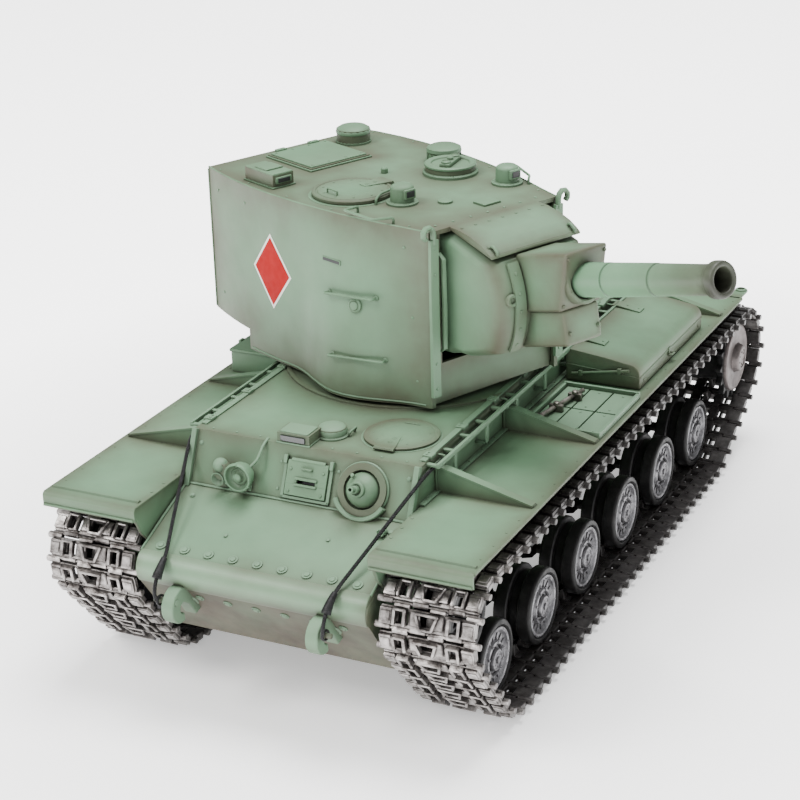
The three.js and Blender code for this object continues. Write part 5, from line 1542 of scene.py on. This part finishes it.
def belt_path():
    """The belt's inner line as (kind, where, start angle, turn, length) runs round the wheels."""
    count = len(CIRCLES)
    heads = []
    for i, (y, z, r) in enumerate(CIRCLES):
        ny, nz, nr = CIRCLES[(i + 1) % count]
        heads.append(math.atan2(nz - z, ny - y) + math.asin((r - nr) / math.hypot(ny - y, nz - z)))
    runs = []
    for i, (y, z, r) in enumerate(CIRCLES):
        turn = (heads[i] - heads[i - 1]) % (2 * math.pi)
        runs.append(("arc", (y, z, r), heads[i - 1] - math.pi / 2, turn, r * turn))
        ny, nz, nr = CIRCLES[(i + 1) % count]
        out = heads[i] - math.pi / 2
        a = Vector((y + r * math.cos(out), z + r * math.sin(out)))
        b = Vector((ny + nr * math.cos(out), nz + nr * math.sin(out)))
        runs.append(("line", (a, b), out, 0, (b - a).length))
    return runs


RUNS = belt_path()
BELT_LENGTH = sum(run[4] for run in RUNS)


def belt_at(distance):
    """A point on the belt's inner line."""
    left = distance % BELT_LENGTH
    for kind, where, start, turn, length in RUNS:
        if left <= length:
            if kind == "line":
                a, b = where
                return a.lerp(b, left / length)
            y, z, r = where
            angle = start + turn * left / length
            return Vector((y + r * math.cos(angle), z + r * math.sin(angle)))
        left -= length
    return belt_at(0)


def link_mesh():
    """One cast link: x across the track, y along it, z out of the belt."""
    bm = bmesh.new()
    # Plate between the hinge lines, with openings left between its ribs.
    for x0, x1 in ((-21.6, -13.4), (-9.0, -4.0), (4.0, 9.0), (13.4, 21.6)):
        block(bm, (x0, -4.0, 0.3), (x1, 4.0, 2.9), HERE, 0.35, 1)
    block(bm, (-21.6, -4.1, 0.4), (21.6, -2.5, 3.0), HERE, 0.3, 1)
    block(bm, (-21.6, 2.5, 0.4), (21.6, 4.1, 3.0), HERE, 0.3, 1)
    # Hinge knuckles on both edges, alternating, and the pin through them.
    for i in range(6):
        x = -20.4 + i * 8.16
        y = 4.6 if i % 2 else -4.6
        lathe(bm, [(0, -3.6), (1.35, -3.6), (1.55, -3.3), (1.55, 3.3), (1.35, 3.6), (0, 3.6)], 10,
              at(x, y, 1.7) @ ALONG_X)
    lathe(bm, [(0, -21.75), (0.8, -21.75), (0.8, 21.75), (0, 21.75)], 8, at(0, 4.95, 1.7) @ ALONG_X)
    # Raised grousers: square pads at both edges, C-shaped borders and a centre pad.
    for m in MIRROR.values():
        block(bm, (15.9, -3.4, 2.7), (21.5, 3.4, 4.5), m, 0.45, 2)
        block(bm, (16.4, -2.2, 4.3), (20.9, 2.2, 5.0), m, 0.4, 1)
        block(bm, (9.2, -3.9, 2.7), (10.6, 3.4, 5.8), m, 0.35, 1)
        block(bm, (14.0, -3.9, 2.7), (15.3, 3.4, 5.8), m, 0.35, 1)
        block(bm, (9.2, -4.0, 2.7), (15.3, -2.9, 5.8), m, 0.35, 1)
        block(bm, (10.4, 2.5, 2.5), (14.2, 3.3, 4.2), m, 0.25, 1)
        block(bm, (3.2, -3.6, 2.7), (7.6, 2.4, 4.4), m, 0.4, 1)
    block(bm, (-5.6, -3.8, 2.7), (5.6, -2.6, 5.9), HERE, 0.35, 1)
    for s in (1, -1):
        prism(bm, [(s * 5.6, -3.6), (s * 4.4, -3.6), (s * 2.0, 3.4), (s * 3.2, 3.6)][::s], 2.7, 5.9, HERE,
              0.3, 1)
    block(bm, (-2.9, 2.6, 2.7), (2.9, 3.7, 5.7), HERE, 0.3, 1)
    # The guide horn between the wheels.
    part = bmesh.new()
    loft(part, [[(-x, -y, z), (x, -y, z), (x, y, z), (-x, y, z)]
                for x, y, z in ((1.9, 3.0, 0.6), (0.8, 1.4, -4.6))])
    round_edges(part, 0.4, 1)
    merge(bm, part)
    mesh = bpy.data.meshes.new("link")
    bm.to_mesh(mesh)
    bm.free()
    return mesh


LINK = link_mesh()


def track(side, name, node):
    bm = bmesh.new()
    pitch = BELT_LENGTH / LINKS
    for i in range(LINKS):
        a, b, middle = (belt_at((i + 0.5 + part) * pitch) for part in (-0.46, 0.46, 0))
        along = (b - a).normalized()
        out = Vector((along.y, -along.x))
        centre = (a + b) / 2
        sag = (middle - centre).dot(out)
        centre = centre + out * sag * 0.5
        m = Matrix(((-1 if side > 0 else 1, 0, 0), (0, along.x, out.x), (0, along.y, out.y))).to_4x4()
        m.translation = Vector((side * TRACK_X, centre.x, centre.y))
        held = LINK.copy()
        held.transform(m)
        if m.to_3x3().determinant() < 0:
            held.flip_normals()
        bm.from_mesh(held)
        bpy.data.meshes.remove(held)
    return make(name, bm, TRACK, "hull", [node], smooth=32)


track(1, "track_links_left", "track_left")
track(-1, "track_links_right", "track_right")
bpy.data.meshes.remove(LINK)


def out_along(side, y, z):
    """A frame whose z points out of the tank's side, on an axle."""
    return at(side * TRACK_X, y, z) @ (ALONG_X if side > 0 else Matrix.Rotation(-90 * RAD, 4, "Y"))


def road_wheel(side, y, name, node):
    place = out_along(side, y, WHEEL_Z)
    # Black rim in two halves with a groove for the guide horns.
    bm = bmesh.new()
    for s in (1, -1):
        half = [(13, s * 2.1), (15.4, s * 2.1), (16.4, s * 2.2), (17.6, s * 2.4), (18.15, s * 3.0),
                (18.2, s * 4), (18.2, s * 7.6), (17.9, s * 8.5), (17.2, s * 9.0), (15.8, s * 9.15),
                (15.2, s * 8.7), (14.6, s * 7.4), (13, s * 7.2)]
        lathe(bm, half, 56, place, closed=True)
    lathe(bm, [(3, -2.3), (15.6, -2.3), (15.6, 2.3), (3, 2.3)], 48, place, closed=True)
    make(name + "_rim", bm, RIM, node)
    # Silver dished face: rim bead, web with ribs, bolt circle and hub cap.
    bm = bmesh.new()
    lathe(bm, [(3, -7.4), (14.9, -7.4), (14.9, -6.6), (14.9, 7.5), (14.5, 8.6), (13.8, 8.9), (13.1, 8.5),
               (12.7, 7.5), (12.1, 7.0), (8.9, 6.9), (8.5, 7.5), (8.1, 8.3), (7.2, 8.5), (6.7, 7.9),
               (6.5, 7.3), (5.4, 7.3), (5.2, 8.7), (4.7, 9.4), (3.9, 9.6), (3.7, 9.3), (1.6, 9.3), (1.4, 10),
               (0, 10.1)], 56, place)
    for m in ring_of(16, 10.5):
        block(bm, (-1.6, -0.32, 6.6), (1.5, 0.32, 7.55), place @ m, 0.2, 1)
    bolt_ring(bm, place, 8, 7.6, 22.5, 8.2, 0.62, 0.6, hex_bolt)
    bolt_ring(bm, place, 16, 13.7, 11.25, 8.6, 0.42, 0.4)
    bolt_ring(bm, place, 6, 3.0, 0, 9.2, 0.36, 0.4)
    return make(name + "_face", bm, WHEEL, node, [node])


def swing_arm(side, y, name, node):
    bm = bmesh.new()
    m = MIRROR[side]
    pivot = (y - ARM_BACK, WHEEL_Z + ARM_UP)
    tilt = math.degrees(math.atan2(-ARM_UP, ARM_BACK))
    outline = [*arc(*pivot, 4.6, tilt + 90, tilt + 270, 14), *arc(y, WHEEL_Z, 5.2, tilt - 90, tilt + 90, 14)]
    prism(bm, outline, 58.6, 63.2, m @ PROFILE, 0.8, 3)
    for (cy, cz), r in ((pivot, 3.1), ((y, WHEEL_Z), 3.7)):
        lathe(bm, [(r, 62.8), (r, 64), (r - 0.5, 64.5), (r * 0.5, 64.7), (0, 64.7)], 24,
              m @ at(0, cy, cz) @ ALONG_X)
    disc(bm, 2.3, 50, 59, m @ at(0, *pivot) @ ALONG_X, 0.3, 18)
    disc(bm, 2.5, 62, TRACK_X - 3, m @ at(0, y, WHEEL_Z) @ ALONG_X, 0.3, 18)
    return make(name + "_arm", bm, RIM, node, [node])


def return_roller(side, y, name, node):
    place = out_along(side, y, ROLLER_Z)
    bm = bmesh.new()
    lathe(bm, [(2.6, -7), (8.8, -7), (9.6, -6.6), (9.7, -6), (9.7, -3), (9.4, -2.5), (7.6, -2.2), (7.6, 2.2),
               (9.4, 2.5), (9.7, 3), (9.7, 6), (9.6, 6.6), (8.8, 7), (7.6, 6.9), (7, 5.8), (4.6, 5.8),
               (4.3, 6.6), (4, 8.8), (3.4, 9.3), (1.6, 9.4), (0, 9.4)], 40, place)
    bolt_ring(bm, place, 6, 5.8, 0, 5.7, 0.5, 0.5)
    return make(name + "_tyre", bm, RIM, node, [node])


def idler(side, name, node):
    place = out_along(side, *IDLER)
    bm = bmesh.new()
    for s in (1, -1):
        lathe(bm, [(12.6, s * 2.3), (15.8, s * 2.3), (17.8, s * 2.6), (18.5, s * 3.2), (18.6, s * 7.8),
                   (18, s * 8.8), (16.4, s * 9.1), (15.2, s * 8.6), (14.4, s * 7), (12.6, s * 6.8)], 56,
              place, closed=True)
    lathe(bm, [(3.4, -6.4), (15.8, -6.4), (15.8, -2.4), (15.6, 2.4), (13.6, 6.6), (12.6, 6.2), (7.2, 5.4),
               (6.8, 6.4), (6.4, 9.6), (5.6, 10.4), (4.4, 10.6), (4.2, 10.1), (0, 10.1)], 56, place)
    for m in ring_of(8, 9.9):
        block(bm, (-2.6, -0.7, 5.4), (2.6, 0.7, 7), place @ m, 0.4, 2)
    bolt_ring(bm, place, 6, 5.2, 0, 10.4, 0.4, 0.4)
    return make(name, bm, RIM, node, [node])


def sprocket(side, name, node):
    place = out_along(side, *SPROCKET)
    # Two toothed rings on a drum; the rings are dark, the broad hub plate is pale.
    bm = bmesh.new()
    teeth = 16
    outline = []
    for i in range(teeth):
        for part, r in ((-0.32, 19.1), (-0.2, 20.6), (-0.11, 22.3), (0, 22.7), (0.11, 22.3), (0.2, 20.6),
                        (0.32, 19.1)):
            a = 2 * math.pi * (i + part) / teeth
            outline.append((r * math.cos(a), r * math.sin(a)))
    for low, high in ((-17.2, -13.8), (11.3, 14.7)):
        prism(bm, outline, low, high, place, 0.4)
    lathe(bm, [(3, -16), (15.4, -16), (15.4, -14), (14.6, -13), (13.4, -9), (13.4, 7), (14.6, 11), (15.4, 12),
               (15.4, 13), (3, 13)], 48, place, closed=True)
    bolt_ring(bm, place, 16, 17.2, 11.25, 14.6, 0.75, 0.7, hex_bolt)
    disc(bm, 2.8, -55.5, -15, place, 0.3, 18)
    make(name + "_teeth", bm, RIM, node)
    bm = bmesh.new()
    lathe(bm, [(3, 13.6), (17.6, 13.6), (18.4, 14.4), (18.5, 15.4), (18, 16.4), (16.8, 16.9), (15.6, 16.6),
               (14.6, 16.0), (8.2, 16.2), (7.6, 17.2), (7.2, 18.8), (6.4, 19.5), (5.2, 19.7), (4.9, 19.2),
               (0, 19.2)], 64, place)
    bolt_ring(bm, place, 6, 3.4, 0, 19.1, 0.5, 0.5)
    return make(name + "_hub", bm, HUB, node, [node])


for end, side in (("left", 1), ("right", -1)):
    for i, y in enumerate(WHEEL_YS, 1):
        road_wheel(side, y, f"wheel_{end}_{i}", f"road_wheel_{end}_{i}")
        swing_arm(side, y, f"suspension_{end}_{i}", f"swing_arm_{end}_{i}")
    for i, y in enumerate(ROLLER_YS, 1):
        return_roller(side, y, f"roller_{end}_{i}", f"return_roller_{end}_{i}")
    idler(side, f"idler_wheel_{end}", f"idler_{end}")
    sprocket(side, f"drive_sprocket_{end}", f"sprocket_{end}")


def side_gear():
    """Fixed fittings behind the wheels: arm bosses, bump stops, roller brackets and axle housings."""
    bm = bmesh.new()
    for m in MIRROR.values():
        for y in WHEEL_YS:
            axle = m @ at(0, y - ARM_BACK, WHEEL_Z + ARM_UP) @ ALONG_X
            lathe(bm, [(7, 55.8), (7, 57), (6.4, 57.6), (4.9, 57.8), (4.9, 55.8)], 32, axle, closed=True)
            bolt_ring(bm, axle, 6, 6, 30, 57.3, 0.5, 0.4)
            block(bm, (55.8, y - 3, WHEEL_Z + 21), (61.4, y + 3, WHEEL_Z + 24.5), m, 0.6)
            block(bm, (55.8, y - 4.5, WHEEL_Z + 19), (57, y + 4.5, WHEEL_Z + 28), m, 0.4)
        for y in ROLLER_YS:
            axle = m @ at(0, y, ROLLER_Z) @ ALONG_X
            lathe(bm, [(5.6, 55.8), (5.2, 58), (3.4, 61), (3, 72), (2, 72.4)], 28, axle)
            block(bm, (55.8, y - 6, 33), (57.2, y + 6, 49), m, 0.4)
            for dz in (35, 47):
                for dy in (-4.4, 4.4):
                    bolt(bm, m @ at(57.1, y + dy, dz) @ ALONG_X, 0.6, 0.5)
        drive = m @ at(0, *SPROCKET) @ ALONG_X
        lathe(bm, [(15.4, 55.8), (15.4, 57.4), (14.6, 58.2), (11.4, 59), (10.8, 61), (10, 61.9), (3.6, 61.9)],
              44, drive)
        bolt_ring(bm, drive, 10, 13.2, 0, 58, 0.7, 0.7, hex_bolt)
        lathe(bm, [(9.4, 55.8), (9.2, 58.4), (8, 60), (3.4, 60.6), (3, 72.8), (2.6, 73)], 36,
              m @ at(0, *IDLER) @ ALONG_X)
    return make("side_gear", bm, PAINT_HULL, "hull")


side_gear()

# ---------- Inside ----------
refined("drive_gearbox", "drive_unit", BLACK, "hull", 0.6, 12)
refined("battery", "battery_pack", WRAP, "hull", 1.2, 12)
refined("receiver_board", "control_board", BOARD, "hull", 0.2, 12)
refined("turning_motor", "traverse_motor", RIM, "hull", 0.4, 12)
refined("turning_pinion", "traverse_pinion", NYLON, "traverse_pinion", 0.1, 12)
refined("switch_slider", "power_switch", BLACK, "power_switch", 0.25, 12)
